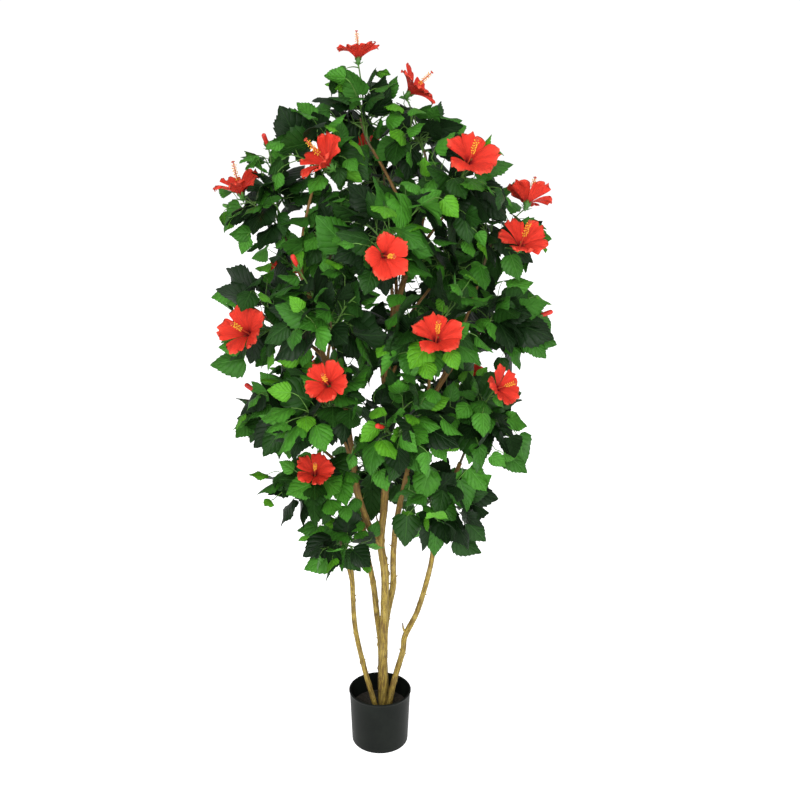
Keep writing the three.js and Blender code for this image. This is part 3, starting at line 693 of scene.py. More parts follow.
def turned_profile(profile, sides):
    """Points and faces of a profile of (radius, height) turned about Z. Both ends lie on the axis."""
    angles = np.arange(sides) * 2 * math.pi / sides
    points = [(0, 0, profile[0][1])]
    for radius, height in profile[1:-1]:
        points += [(radius * math.cos(a), radius * math.sin(a), height) for a in angles]
    points.append((0, 0, profile[-1][1]))
    return np.array(points, float), capped_faces(len(profile) - 2, sides)


def tube_points(line, radius, sides, steps):
    """A closed tube along a run, whose radius is a function of the share of its length."""
    shares = np.linspace(0, 1, steps + 1)
    tangents = [line.tangent(float(s)) for s in shares]
    side = unit(np.cross(tangents[0], (0.37, 0.91, 0.17)))
    points = [line.at(0.0)]
    for s, tangent in zip(shares, tangents):
        side = unit(side - tangent * (side @ tangent))
        up = np.cross(tangent, side)
        for k in range(sides):
            angle = 2 * math.pi * k / sides
            points.append(line.at(float(s)) + (side * math.cos(angle) + up * math.sin(angle)) * radius(s))
    points.append(line.at(1.0))
    return np.array(points), capped_faces(steps + 1, sides)


def joined(points, faces, more_points, more_faces):
    """Two sets of points and faces as one."""
    moved = [[i + len(points) for i in face] for face in more_faces]
    return np.vstack([points, more_points]), [*faces, *moved]


def face_outwards(mesh):
    """Turns each closed body of a mesh so that its faces point out."""
    work = bmesh.new()
    work.from_mesh(mesh)
    bmesh.ops.recalc_face_normals(work, faces=work.faces)
    work.to_mesh(mesh)
    work.free()


def ride(piece, slot, *nodes):
    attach(piece, "root")
    if nodes:
        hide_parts(*nodes)
    return piece


def nodes_named(start):
    return [name for name in sorted(frame["nodes"]) if name.startswith(start)]


# ---- Geometry Nodes ----


def new_tree(name, sockets):
    """A tree with a geometry input and output, and these further inputs: {name: (socket type, default)}."""
    tree = bpy.data.node_groups.new(name, "GeometryNodeTree")
    tree.interface.new_socket("Geometry", in_out="INPUT", socket_type="NodeSocketGeometry")
    for label, (kind, default) in sockets.items():
        socket = tree.interface.new_socket(label, in_out="INPUT", socket_type=kind)
        if default is not None:
            socket.default_value = default
    tree.interface.new_socket("Geometry", in_out="OUTPUT", socket_type="NodeSocketGeometry")
    return tree


def add_node(tree, kind, settings=None, **inputs):
    """A node with its settings and the values or links of its inputs, by name with _ for a space."""
    node = tree.nodes.new(kind)
    for key, value in (settings or {}).items():
        setattr(node, key, value)
    for key, value in inputs.items():
        socket = node.inputs[key.replace("_", " ")]
        if isinstance(value, bpy.types.NodeSocket):
            tree.links.new(value, socket)
        else:
            socket.default_value = value
    return node


def stored(tree, name, kind):
    """The output of a Named Attribute node."""
    node = add_node(tree, "GeometryNodeInputNamedAttribute", {"data_type": kind}, Name=name)
    return node.outputs["Attribute"]


def closed_tree(tree, shape, material):
    """Ends a geometry tree in Realize Instances and Set Material."""
    real = add_node(tree, "GeometryNodeRealizeInstances", Geometry=shape)
    made = add_node(tree, "GeometryNodeSetMaterial", Geometry=real.outputs["Geometry"], Material=material)
    out = tree.nodes.new("NodeGroupOutput")
    tree.links.new(made.outputs["Geometry"], out.inputs["Geometry"])
    return tree


def copies_tree():
    """Puts copies of a collection's shapes on points, which hold which shape, turn and size each copy has."""
    tree = new_tree(
        "place_copies",
        {
            "Shapes": ("NodeSocketCollection", None),
            "Scale": ("NodeSocketFloat", 1.0),
            "Material": ("NodeSocketMaterial", None),
        },
    )
    given = tree.nodes.new("NodeGroupInput")
    shapes = add_node(
        tree,
        "GeometryNodeCollectionInfo",
        Collection=given.outputs["Shapes"],
        Separate_Children=True,
        Reset_Children=True,
    )
    size = add_node(tree, "ShaderNodeMath", {"operation": "MULTIPLY"})
    tree.links.new(stored(tree, "size", "FLOAT"), size.inputs[0])
    tree.links.new(given.outputs["Scale"], size.inputs[1])
    placed = add_node(
        tree,
        "GeometryNodeInstanceOnPoints",
        Points=given.outputs["Geometry"],
        Instance=shapes.outputs["Instances"],
        Pick_Instance=True,
        Instance_Index=stored(tree, "shape", "INT"),
        Rotation=stored(tree, "turn", "QUATERNION"),
        Scale=size.outputs[0],
    )
    return closed_tree(tree, placed.outputs["Instances"], given.outputs["Material"])


def strands_tree():
    """Makes tubes along the edges of a mesh, as thick as its points say."""
    tree = new_tree("strands", {"Sides": ("NodeSocketInt", 6), "Material": ("NodeSocketMaterial", None)})
    given = tree.nodes.new("NodeGroupInput")
    line = add_node(tree, "GeometryNodeMeshToCurve", Mesh=given.outputs["Geometry"])
    thickness = stored(tree, "thickness", "FLOAT")
    thick = add_node(tree, "GeometryNodeSetCurveRadius", Curve=line.outputs["Curve"], Radius=thickness)
    ring = add_node(tree, "GeometryNodeCurvePrimitiveCircle", Resolution=given.outputs["Sides"], Radius=1.0)
    tube = add_node(
        tree,
        "GeometryNodeCurveToMesh",
        Curve=thick.outputs["Curve"],
        Profile_Curve=ring.outputs["Curve"],
        Fill_Caps=True,
    )
    # some versions read a tube's thickness from the curve, and others from this input
    if "Scale" in tube.inputs:
        tree.links.new(thickness, tube.inputs["Scale"])
    return closed_tree(tree, tube.outputs["Mesh"], given.outputs["Material"])


def run_tree(source, tree, values, name):
    """What a geometry tree makes of an object, as a new plain piece. The object itself is removed."""
    modifier = source.modifiers.new("made", "NODES")
    modifier.node_group = tree
    for item in tree.interface.items_tree:
        if item.item_type == "SOCKET" and item.in_out == "INPUT" and item.name in values:
            modifier[item.identifier] = values[item.name]
    depsgraph = bpy.context.evaluated_depsgraph_get()
    mesh = bpy.data.meshes.new_from_object(source.evaluated_get(depsgraph), depsgraph=depsgraph)
    bpy.data.objects.remove(source)
    mesh.name = name
    for left in [a.name for a in mesh.attributes if a.name in ("turn", "size", "shape", "thickness")]:
        mesh.attributes.remove(mesh.attributes[left])
    return linked(name, mesh)


def quaternion_of(side, along, face):
    """The turn that takes X, Y and Z to side, along and face."""
    return Matrix((side, along, face)).transposed().to_quaternion()


def placed_copies(name, shapes, places, material, scale=1.0):
    """Copies of shapes, as one piece. A place is (point in millimetres, side, along, face, size, shape)."""
    points = bpy.data.meshes.new(name + "_points")
    points.from_pydata([tuple(np.asarray(p[0]) * MM) for p in places], [], [])
    turn = points.attributes.new("turn", "QUATERNION", "POINT")
    turn.data.foreach_set("value", [x for p in places for x in quaternion_of(*p[1:4])])
    size = points.attributes.new("size", "FLOAT", "POINT")
    size.data.foreach_set("value", [float(p[4]) for p in places])
    shape = points.attributes.new("shape", "INT", "POINT")
    shape.data.foreach_set("value", [int(p[5]) for p in places])
    collection = bpy.data.collections.new(name + "_shapes")
    for i, mesh in enumerate(shapes):
        collection.objects.link(bpy.data.objects.new(f"{name}_shape_{i:02d}", mesh))
    values = {"Shapes": collection, "Scale": scale, "Material": material}
    piece = run_tree(linked(name + "_points", points), copies_tree(), values, name)
    for one in list(collection.objects):
        bpy.data.objects.remove(one)
    bpy.data.collections.remove(collection)
    return piece


def tubes(name, strands, sides, material):
    """Tubes along strands of (points, radii) in millimetres, as one piece."""
    points, edges, radii = [], [], []
    for line, thick in strands:
        first = len(points)
        points += [tuple(p * MM) for p in line]
        edges += [(first + i, first + i + 1) for i in range(len(line) - 1)]
        radii += [float(r) * MM for r in thick]
    mesh = bpy.data.meshes.new(name + "_lines")
    mesh.from_pydata(points, edges, [])
    mesh.attributes.new("thickness", "FLOAT", "POINT").data.foreach_set("value", radii)
    values = {"Sides": sides, "Material": material}
    piece = run_tree(linked(name + "_lines", mesh), strands_tree(), values, name)
    piece.data.polygons.foreach_set("use_smooth", [True] * len(piece.data.polygons))
    return piece


# ---- Shader maths ----

MIX_SOCKETS = (0, 6, 7, 2)  # a Mix node's factor, its two colours and its colour output, by their places


class Channel:
    """A number that a shader socket gives, which can be worked with as a number."""

    def __init__(self, graph, socket):
        self.graph, self.socket = graph, socket

    def maths(self, operation, *others):
        return self.graph.node("ShaderNodeMath", {"operation": operation}, dict(enumerate((self, *others))))

    def __add__(self, other):
        return self.maths("ADD", other)

    def __sub__(self, other):
        return self.maths("SUBTRACT", other)

    def __rsub__(self, other):
        return self.graph.node("ShaderNodeMath", {"operation": "SUBTRACT"}, {0: other, 1: self})

    def __mul__(self, other):
        return self.maths("MULTIPLY", other)

    def __abs__(self):
        return self.maths("ABSOLUTE")

    __radd__ = __add__
    __rmul__ = __mul__


class Graph:
    """A material's node tree, built by expressions."""

    def __init__(self, name):
        self.material = bpy.data.materials.new(name)
        self.material.use_nodes = True
        self.tree = self.material.node_tree
        self.shader = self.tree.nodes["Principled BSDF"]

    def node(self, kind, settings=None, sockets=None, output=0):
        """The output of a new node, whose settings are set first and then its sockets' values or links."""
        node = self.tree.nodes.new(kind)
        for key, value in (settings or {}).items():
            setattr(node, key, value)
        for key, value in (sockets or {}).items():
            self.put(node.inputs[key], value)
        return Channel(self, node.outputs[output])

    def put(self, socket, value):
        if isinstance(value, Channel):
            self.tree.links.new(value.socket, socket)
        elif socket.type == "RGBA":
            socket.default_value = (*value, 1)[:4]
        else:
            socket.default_value = value

    def places(self):
        """Object coordinates."""
        return self.node("ShaderNodeTexCoord", output="Object")

    def stripes(self, value):
        """From 0 halfway along each whole step of a value up to 1 at its ends."""
        return abs(value.maths("FRACT") - 0.5) * 2

    def axes(self, vector):
        parts = self.node("ShaderNodeSeparateXYZ", sockets={"Vector": vector})
        return [Channel(self, socket) for socket in parts.socket.node.outputs]

    def join(self, x, y, z):
        return self.node("ShaderNodeCombineXYZ", sockets={"X": x, "Y": y, "Z": z})

    def noise(self, vector, scale, detail=3.0, roughness=0.55):
        sockets = {"Vector": vector, "Scale": scale, "Detail": detail, "Roughness": roughness}
        return self.node("ShaderNodeTexNoise", sockets=sockets)

    def step(self, value, low, high, start=0.0, end=1.0):
        """start below low, end above high and smooth between."""
        sockets = {"Value": value, "From Min": low, "From Max": high, "To Min": start, "To Max": end}
        return self.node("ShaderNodeMapRange", {"interpolation_type": "SMOOTHSTEP"}, sockets)

    def blend(self, share, one, other):
        """one where share is 0 and other where it is 1, as colours."""
        factor, colour_a, colour_b, result = MIX_SOCKETS
        sockets = {factor: share, colour_a: one, colour_b: other}
        return self.node("ShaderNodeMix", {"data_type": "RGBA"}, sockets, result)

    def bump(self, height, distance, strength):
        sockets = {"Height": height, "Distance": distance, "Strength": strength}
        return self.node("ShaderNodeBump", sockets=sockets)

    def finish(self, colour, roughness, normal=None, **constants):
        self.put(self.shader.inputs["Base Color"], colour)
        self.put(self.shader.inputs["Roughness"], roughness)
        if normal is not None:
            self.put(self.shader.inputs["Normal"], normal)
        for name, value in constants.items():
            self.shader.inputs[name.replace("_", " ")].default_value = value
        return self.material


def darker(colour, share):
    return tuple(c * share for c in colour)


def between(one, other, share):
    return tuple(a + (b - a) * share for a, b in zip(one, other))


# ---- Finishes ----


RIB_SLANT, RIB_STEPS, NET_STEPS = 0.4, 5.5, 26.0  # how the side veins and the net between them cross a leaf
PALE_RIM = (1.0, 0.35, 0.2)
PALE_WOOD, BROWN_PATCH = (0.52, 0.41, 0.15), (0.13, 0.055, 0.018)
CROWN_WOOD, KNOT_WOOD = (0.16, 0.07, 0.028), (0.045, 0.022, 0.012)
POT_HAZE, POT_SCUFF = (0.02, 0.024, 0.019), (0.035, 0.04, 0.034)
GRIT = (0.3, 0.26, 0.2)
COLUMN_RED, BUD_RED = (0.6, 0.06, 0.02), (0.5, 0.01, 0.01)
CUP_GREEN, CUP_SHADE = (0.075, 0.23, 0.03), (0.05, 0.15, 0.025)
TWIG_BROWN, TWIG_SHADE = (0.12, 0.08, 0.03), (0.07, 0.06, 0.022)


def leaf_finish(name, colour, vein):
    """A printed fabric leaf: pale veins pressed into it, a duller underside and a soft sheen, with a painted
    highlight on the bulges between the side veins and painted shade towards its edges.
    """
    g = Graph(name)
    place = g.node("ShaderNodeUVMap", {"uv_map": LEAF_MAP})
    u, v, _ = g.axes(place)
    under = g.step(u, 0.495, 0.505)
    across = g.stripes(u * 2)
    midrib = g.step(across, 0.015, 0.06, 1.0, 0.0)
    wave = g.stripes((v - across * RIB_SLANT) * RIB_STEPS + 0.2)
    side_veins = g.step(wave, 0.86, 0.98) * g.step(across, 0.75, 0.98, 1.0, 0.0)
    fine = g.stripes((v + across * 0.5) * NET_STEPS)
    net = g.step(fine, 0.7, 1.0) * 0.25
    veins = midrib.maths("MAXIMUM", side_veins * 0.75)
    print_noise = g.noise(g.join(u * 3.0, v * 2.0, 0.0), 4.0, 4.0, 0.6)
    mottled = g.blend(g.step(print_noise, 0.35, 0.7), darker(colour, 0.72), colour)
    swell = (1.0 - wave * wave) * g.step(across, 0.05, 0.3) * g.step(across, 0.7, 1.0, 1.0, 0.0)
    # painted highlight: the blade is lighter where it bulges between the side veins
    painted_bulge_highlight = g.blend(swell * 0.3, mottled, between(colour, vein, 0.3))
    # painted shade: the blade is darker towards its edges
    painted_edge_shade = g.blend(g.step(across, 0.72, 1.0) * 0.5, painted_bulge_highlight, darker(colour, 0.6))
    printed = g.blend(veins * 0.5 + net * 0.2, painted_edge_shade, vein)
    dull = between(darker(colour, 0.9), vein, 0.35)
    shown = g.blend(under * 0.55, printed, dull)
    weave = g.noise(g.join(u * 60.0, v * 30.0, 0.0), 6.0, 2.0)
    height = swell * 0.5 - veins * 0.45 + print_noise * 0.35 + weave * 0.08 - net * 0.2
    rough = 0.42 + under * 0.2 + print_noise * 0.12
    return g.finish(shown, rough, g.bump(height, 0.0024, 0.8), Specular_IOR_Level=0.18)


def petal_finish(colour, eye):
    """A fabric petal: deep eye at its foot, long fine pleats and a paler ruffled rim. The petal is darker
    along its pleats, partly its own veining and partly painted shade in the folds.
    """
    g = Graph("petal_fabric")
    place = g.node("ShaderNodeUVMap", {"uv_map": LEAF_MAP})
    u, v, _ = g.axes(place)
    pleats = g.noise(g.join(u * 9.0, v * 0.9, 0.0), 5.0, 3.0, 0.6)
    fan = g.stripes((u - 0.5) * (1.35 - v * 0.45) * 22.0)
    eye_share = g.step(v, 0.12, 0.42, 1.0, 0.0)
    # darker along the pleats: partly the petal's own veining, partly painted shade in the folds
    body = g.blend(g.step(pleats, 0.3, 0.7), darker(colour, 0.62), colour)
    rim = g.blend(g.step(v, 0.75, 1.0) * 0.3, body, between(colour, PALE_RIM, 0.4))
    shown = g.blend(eye_share, rim, eye)
    height = pleats * 0.7 + g.step(fan, 0.2, 0.9) * 0.25
    return g.finish(shown, 0.58 + pleats * 0.12, g.bump(height, 0.002, 0.9), Specular_IOR_Level=0.2)


def bark_finish(name, colour, streak):
    """Peeled natural wood: long streaks along the grain, darker at knots and towards the crown."""
    g = Graph(name)
    grain = g.node("ShaderNodeAttribute", {"attribute_name": "grain"}, output="Vector")
    knot = g.node("ShaderNodeAttribute", {"attribute_name": "knot"}, output="Fac")
    _, _, z = g.axes(g.places())
    gx, gy, gz = g.axes(grain)
    streaks = g.noise(g.join(gx, gy, gz * 0.16), 260.0, 5.0, 0.62)
    patches = g.noise(g.join(gx, gy, gz * 0.5), 42.0, 4.0, 0.6)
    flecks = g.noise(g.join(gx, gy, gz * 0.6), 620.0, 2.0, 0.5)
    body = g.blend(g.step(streaks, 0.38, 0.66), streak, colour)
    body = g.blend(g.step(patches, 0.42, 0.72) * 0.45, body, between(colour, PALE_WOOD, 0.6))
    body = g.blend(g.step(patches, 0.3, 0.42, 1.0, 0.0) * 0.6, body, between(streak, BROWN_PATCH, 0.6))
    body = g.blend(g.step(flecks, 0.57, 0.69) * 0.7, body, darker(streak, 0.5))
    body = g.blend(g.step(z, 0.4, 0.9) * (0.45 + patches * 0.4), body, CROWN_WOOD)
    body = g.blend(knot, body, KNOT_WOOD)
    height = streaks * 0.7 + patches * 0.5 + flecks * 0.25 - knot * 0.4
    return g.finish(body, 0.62 + streaks * 0.22, g.bump(height, 0.0012, 0.9), Specular_IOR_Level=0.3)


def stalk_finish(name, colour, shade):
    """Coated wire, moulded plastic or thick fabric, softly mottled."""
    g = Graph(name)
    mottle = g.noise(g.places(), 70.0, 3.0)
    fine = g.noise(g.places(), 600.0, 2.0)
    shown = g.blend(g.step(mottle, 0.35, 0.7), shade, colour)
    return g.finish(shown, 0.46 + mottle * 0.15, g.bump(fine, 0.0004, 0.5), Specular_IOR_Level=0.4)


def pot_finish(colour):
    """Black injection moulded plastic, faintly hazed, with scuffs where it is handled."""
    g = Graph("pot_plastic")
    x, y, z = g.axes(g.places())
    haze = g.noise(g.places(), 14.0, 4.0, 0.6)
    fine = g.noise(g.places(), 900.0, 2.0, 0.5)
    scuffs = g.step(g.noise(g.join(x, y, z * 7.0), 46.0, 5.0, 0.72), 0.6, 0.72)
    low = g.step(z, 0.0, 0.03, 1.0, 0.0)
    worn = (scuffs * (0.22 + low * 0.4)).maths("MINIMUM", 1.0)
    body = g.blend(g.step(haze, 0.35, 0.7) * 0.5, colour, between(colour, POT_HAZE, 0.4))
    shown = g.blend(worn * 0.3, body, POT_SCUFF)
    rough = 0.42 + haze * 0.16 + worn * 0.15
    return g.finish(shown, rough, g.bump(fine * 0.6 + haze * 0.3, 0.0005, 0.35), Specular_IOR_Level=0.1)


def filling_finish(colour):
    """Rough dark cement with grit."""
    g = Graph("pot_cement")
    lumps = g.noise(g.places(), 90.0, 6.0, 0.7)
    grit = g.node("ShaderNodeTexVoronoi", {"feature": "F1"}, {"Vector": g.places(), "Scale": 320.0})
    stones = g.step(grit, 0.12, 0.34, 1.0, 0.0)
    body = g.blend(g.step(lumps, 0.35, 0.7), darker(colour, 0.45), colour)
    shown = g.blend(stones * 0.5, body, between(colour, GRIT, 0.6))
    return g.finish(shown, 0.86 + lumps * 0.1, g.bump(lumps + stones * 0.4, 0.002, 0.9))


def plain_finish(name, colour, roughness):
    """A plain colour, faintly mottled."""
    g = Graph(name)
    mottle = g.noise(g.places(), 320.0, 3.0)
    shown = g.blend(g.step(mottle, 0.35, 0.7), darker(colour, 0.75), colour)
    return g.finish(shown, roughness + mottle * 0.1, g.bump(mottle, 0.0004, 0.5))


# ---- Shapes that repeat ----

HALF_OUTLINE = [
    (0.0, 0.0),
    (0.1, -0.04),
    (0.22, -0.045),
    (0.325, 0.02),
    (0.395, 0.13),
    (0.41, 0.265),
    (0.385, 0.4),
    (0.33, 0.535),
    (0.255, 0.66),
    (0.165, 0.78),
    (0.075, 0.895),
    (0.0, 1.02),
]
LEAF_TIP = HALF_OUTLINE[-1][1]
TEETH = 7
TOOTH = 0.046
SMOOTH_EDGE = (0.0, 0.11, 0.2)  # shares of the outline's length at a leaf's root, which has no teeth
TOOTHED = (0.27, 0.93)
SPINE = (0.0, 0.16, 0.36, 0.58, 0.8, LEAF_TIP)
HALFWAY = (0.05, 0.25, 0.47, 0.7)  # how far along the points lie that stand between spine and edge
HALFWAY_OUT = 0.52
# Name, how far it swells, and where its half of the map starts
LEAF_FACES = (("top", 0.007, 0.0), ("under", -0.005, 0.5))


def half_width(y):
    """How wide half a leaf is, without its teeth."""
    widths, heights = np.array(HALF_OUTLINE[2:]).T
    return np.interp(y, heights, widths)


def leaf_edge():
    """Half of a leaf's edge, with its teeth, from the root to the tip."""
    outline = through([(x, y, 0) for x, y in HALF_OUTLINE])
    edge = [outline.at(s) for s in SMOOTH_EDGE]
    starts = np.linspace(*TOOTHED, TEETH + 1)
    for low, high in zip(starts, starts[1:]):
        tangent = outline.tangent(low + 0.6 * (high - low))
        outward = np.array((tangent[1], -tangent[0], 0))
        edge.append(outline.at(float(low)))
        tooth = TOOTH * (1.1 - 0.65 * low)
        edge.append(outline.at(float(low + 0.7 * (high - low))) + outward * tooth + tangent * 0.03)
    edge.append(np.array((0.0, LEAF_TIP, 0.0)))
    return np.array(edge)[:, :2]


def stitched(one, other):
    """Triangles between two chains of (point, x, y) that run the same way, by the nearer next point."""
    beyond = 18  # more than the sum of any two heights
    threes, i, j = [], 0, 0
    while i < len(one) - 1 or j < len(other) - 1:
        ahead_one = one[i + 1][2] + one[i][2] if i < len(one) - 1 else beyond
        ahead_other = other[j + 1][2] + other[j][2] if j < len(other) - 1 else beyond
        if ahead_one <= ahead_other:
            threes.append([one[i], other[j], one[i + 1]])
            i += 1
        else:
            threes.append([one[i], other[j], other[j + 1]])
            j += 1
    return threes


def signed_area(three):
    """Above zero where three points run anticlockwise."""
    return sum(a[1] * b[2] - b[1] * a[2] for a, b in zip(three, three[1:] + three[:1]))


def leaf_shape(variant):
    """A serrated leaf of length 1 along Y with its face to +Z: a thin lens, closed at its edge."""
    rng = np.random.default_rng(70 + variant)
    fold, droop = rng.uniform(0.0, 0.42), rng.uniform(0.05, 0.4)
    wave, phase = rng.uniform(0.02, 0.06), rng.uniform(0, 6.28)
    twist = rng.uniform(-0.3, 0.3)
    edge = leaf_edge()
    inner = np.array([(HALFWAY_OUT * half_width(y), y) for y in HALFWAY])
    spine = np.array([(0.0, y) for y in SPINE])
    points, index = [], {}

    def add(key, x, y, lift):
        z = -fold * abs(x) - droop * y * y + wave * math.sin(9 * y + phase + (2 if x < 0 else 0)) * abs(x) * 4
        z += twist * x * y + lift - 0.35 * x * x
        index[key] = len(points)
        points.append((x, y - 0.25 * droop * y * y * y, z))

    def chains(face, hand):
        """The spine, the points halfway out and the edge, each from root to tip."""
        on_spine = ["root", *((face, "spine", i) for i in range(1, len(spine) - 1)), "tip"]
        on_inner = [(face, hand, i) for i in range(len(inner))]
        on_edge = ["root", *(("edge", hand, i) for i in range(1, len(edge) - 1)), "tip"]
        lines = ((on_spine, spine), (on_inner, inner), (on_edge, edge))
        return [[(index[key], x * hand, y) for key, (x, y) in zip(keys, places)] for keys, places in lines]

    add("root", 0, 0, 0)
    add("tip", 0, LEAF_TIP, 0)
    for hand in (1, -1):
        for i, (x, y) in enumerate(edge[1:-1], 1):
            add(("edge", hand, i), x * hand, y, 0)
    for face, lift, _ in LEAF_FACES:
        for i, (x, y) in enumerate(spine[1:-1], 1):
            add((face, "spine", i), x, y, lift * 0.4)
        for hand in (1, -1):
            for i, (x, y) in enumerate(inner):
                add((face, hand, i), x * hand, y, lift)

    faces, corner_uvs, rim = [], [], []
    for face, _, start in LEAF_FACES:
        for hand in (1, -1):
            on_spine, on_inner, on_edge = chains(face, hand)
            for three in stitched(on_spine, on_inner) + stitched(on_inner, on_edge):
                if (signed_area(three) < 0) == (face == "top"):
                    three.reverse()
                faces.append([point for point, _, _ in three])
                for _, x, y in three:
                    # each place along a leaf spans the whole width of its half of the map
                    width = max(half_width(y), 0.04)
                    u = 0.5 + 0.5 * np.clip(x / (width + 0.04), -0.98, 0.98)
                    corner_uvs.append((start + 0.5 * (0.01 + 0.98 * u), 0.02 + 0.93 * np.clip(y, -0.01, 1.0)))
            ring = [point for point, _, _ in on_edge]
            rim += list(zip(ring, ring[1:]))
    mesh = mesh_of(f"leaf_{variant}", points, faces, corner_uvs)
    mark_sharp(mesh, rim)
    return mesh


PETAL_ROWS, PETAL_COLUMNS = 11, 13
PETAL_THICKNESS = 0.55
PETAL_SHARES = (0, 0.15, 0.3, 0.45, 0.6, 0.78, 0.9, 1.0)  # from foot to rim, where the next three are given
PETAL_RADII = (1.6, 4, 8.5, 18, 29, 42, 50, 55)
PETAL_HEIGHTS = (0, 10, 20, 29, 36, 41.5, 43.5, 42)
PETAL_HALF_WIDTHS = (1.4, 3.4, 7.5, 14, 20.5, 25.5, 24.5, 15.5)
RIM_LIFTS = (0, 0, 0, 0, 0.2, 0.5, 0.8, 1)  # how much of a petal's own lift each place takes


def petal_points(turn, openness, rng):
    """The points of one petal, as a grid from foot to rim."""
    radius = np.array(PETAL_RADII, float)
    radius[-1] *= openness
    lift = rng.uniform(-7, 5)
    height = np.array(PETAL_HEIGHTS) + lift * np.array(RIM_LIFTS)
    ruffle, phase = rng.uniform(3.0, 5.4), rng.uniform(0, 6.28)
    cup, wide = rng.uniform(-6.5, 2.5), rng.uniform(0.88, 1.02)
    grid = []
    for v in np.linspace(0, 1, PETAL_ROWS):
        for u in np.linspace(-1, 1, PETAL_COLUMNS):
            y = np.interp(v, PETAL_SHARES, PETAL_HALF_WIDTHS) * wide * u
            # the rim is rounded, and notched a little at each ruffle
            r = np.interp(v, PETAL_SHARES, radius) - 11 * u * u * v**3
            r += 2.6 * math.sin(9.5 * u + phase) * v**4
            z = np.interp(v, PETAL_SHARES, height)
            z += ruffle * v**2.5 * math.sin(6.5 * u + phase) + u * 4.4 * v * (1 - 0.3 * v)
            z += cup * v * u * u - 2.2 * v * (1 - v) * math.exp(-((u / 0.16) ** 2))
            grid.append((r, y, z))
    grid = np.array(grid)
    c, s = math.cos(turn), math.sin(turn)
    grid[:, :2] = np.stack([grid[:, 0] * c - grid[:, 1] * s, grid[:, 0] * s + grid[:, 1] * c], axis=1)
    return grid


def flower_shape(variant):
    """Five ruffled petals that open from a funnel and overlap. Their foot is the origin, and +Z leads out."""
    rng = np.random.default_rng(900 + variant)
    openness = (1.0, 0.97, 0.93)[variant]
    rows, columns = PETAL_ROWS, PETAL_COLUMNS
    numbers = np.arange(rows * columns).reshape(rows, columns)
    ring = [*numbers[0], *numbers[1:, -1], *numbers[-1, -2::-1], *numbers[-2:0:-1, 0]]
    uv = [(u, v) for v in np.linspace(0.02, 0.98, rows) for u in np.linspace(0.02, 0.98, columns)]
    points, faces, uvs, rim = [], [], [], []
    for k in range(5):
        top = petal_points(k * 2 * math.pi / 5 + rng.uniform(-0.06, 0.06), openness, rng)
        across = np.gradient(top.reshape(rows, columns, 3), axis=1)
        along = np.gradient(top.reshape(rows, columns, 3), axis=0)
        normal = np.cross(along, across).reshape(-1, 3)
        normal /= np.linalg.norm(normal, axis=1)[:, None]
        if normal[:, 2].mean() < 0:
            normal = -normal
        first = len(points)
        points += list(top)
        under = {i: first + i for i in ring}
        for i in numbers[1:-1, 1:-1].ravel():
            under[i] = len(points)
            points.append(top[i] - normal[i] * PETAL_THICKNESS)
        for quad in grid_faces(rows, columns):
            faces.append([first + i for i in quad])
            uvs += [uv[i] for i in quad]
            faces.append([under[i] for i in reversed(quad)])
            uvs += [uv[i] for i in reversed(quad)]
        rim += [(first + a, first + b) for a, b in zip(ring, ring[1:] + ring[:1])]
    mesh = mesh_of(f"flower_{variant}", np.array(points) * MM, faces, uvs)
    face_outwards(mesh)
    mark_sharp(mesh, rim)
    return mesh


def solid_mesh(name, points, faces):
    """A mesh of closed bodies, from points in millimetres."""
    mesh = mesh_of(name, np.array(points) * MM, faces)
    face_outwards(mesh)
    return mesh


COLUMN_TIP = (4, 0, 76.0)
COLUMN_LINE = bent((0, 0, 4), (0.5, 0, 45), COLUMN_TIP)
PADS, BRACTS, ANTHERS = 5, 7, 34


def column_shape():
    """The slender column that leans out of a flower's throat, with five pads at its tip."""
    points, faces = tube_points(COLUMN_LINE, lambda s: 1.9 - 0.9 * s, 8, 10)
    tip = np.array(COLUMN_TIP)
    for k in range(PADS):
        way = facing(360 / PADS * k, 35)
        pad = bent(tip - way * 0.4, tip + way * 2, tip + way * 4.2)
        points, faces = joined(points, faces, *tube_points(pad, lambda s: 0.55 + 0.9 * s**2, 6, 3))
    return solid_mesh("column", points, faces)


def anthers_shape():
    """Yellow anthers on short threads all round the upper half of the column."""
    rng = np.random.default_rng(31)
    points, faces = np.zeros((0, 3)), []
    for k in range(ANTHERS):
        share = 0.5 + 0.45 * k / ANTHERS
        foot, tangent = COLUMN_LINE.at(share), COLUMN_LINE.tangent(share)
        side = turned_about(unit(np.cross(tangent, (0.3, 1, 0))), tangent, k * GOLDEN_ANGLE)
        way = unit(side + tangent * rng.uniform(0.1, 0.6))
        thread = way * rng.uniform(3.2, 5.6)
        head = foot + thread
        line = bent(foot, foot + thread / 2, head)
        points, faces = joined(points, faces, *tube_points(line, lambda s: 0.32, 3, 1))
        points, faces = joined(points, faces, *ball(head, (1.35, 1.35, 1.05), 5, 3))
    return solid_mesh("anthers", points, faces)


def ball(centre, radii, sides, rings):
    angles = np.linspace(-math.pi / 2, math.pi / 2, rings + 2)[1:-1]
    profile = [(0, -1), *((math.cos(a), math.sin(a)) for a in angles), (0, 1)]
    points, faces = turned_profile(profile, sides)
    return points * np.array(radii) + centre, faces


# Rings of the cup: (radius, height, how far its lobes reach above the ring)
CUP_RINGS = (
    (1.4, -6, 0),
    (1.8, -3, 0),
    (3.8, -1, 0),
    (5.4, 3, 0),
    (6.3, 9, 0),
    (8.6, 13, 9),
    (7.9, 12.8, 8.8),
    (5.2, 8, 0),
)
CUP_SIDES = 40


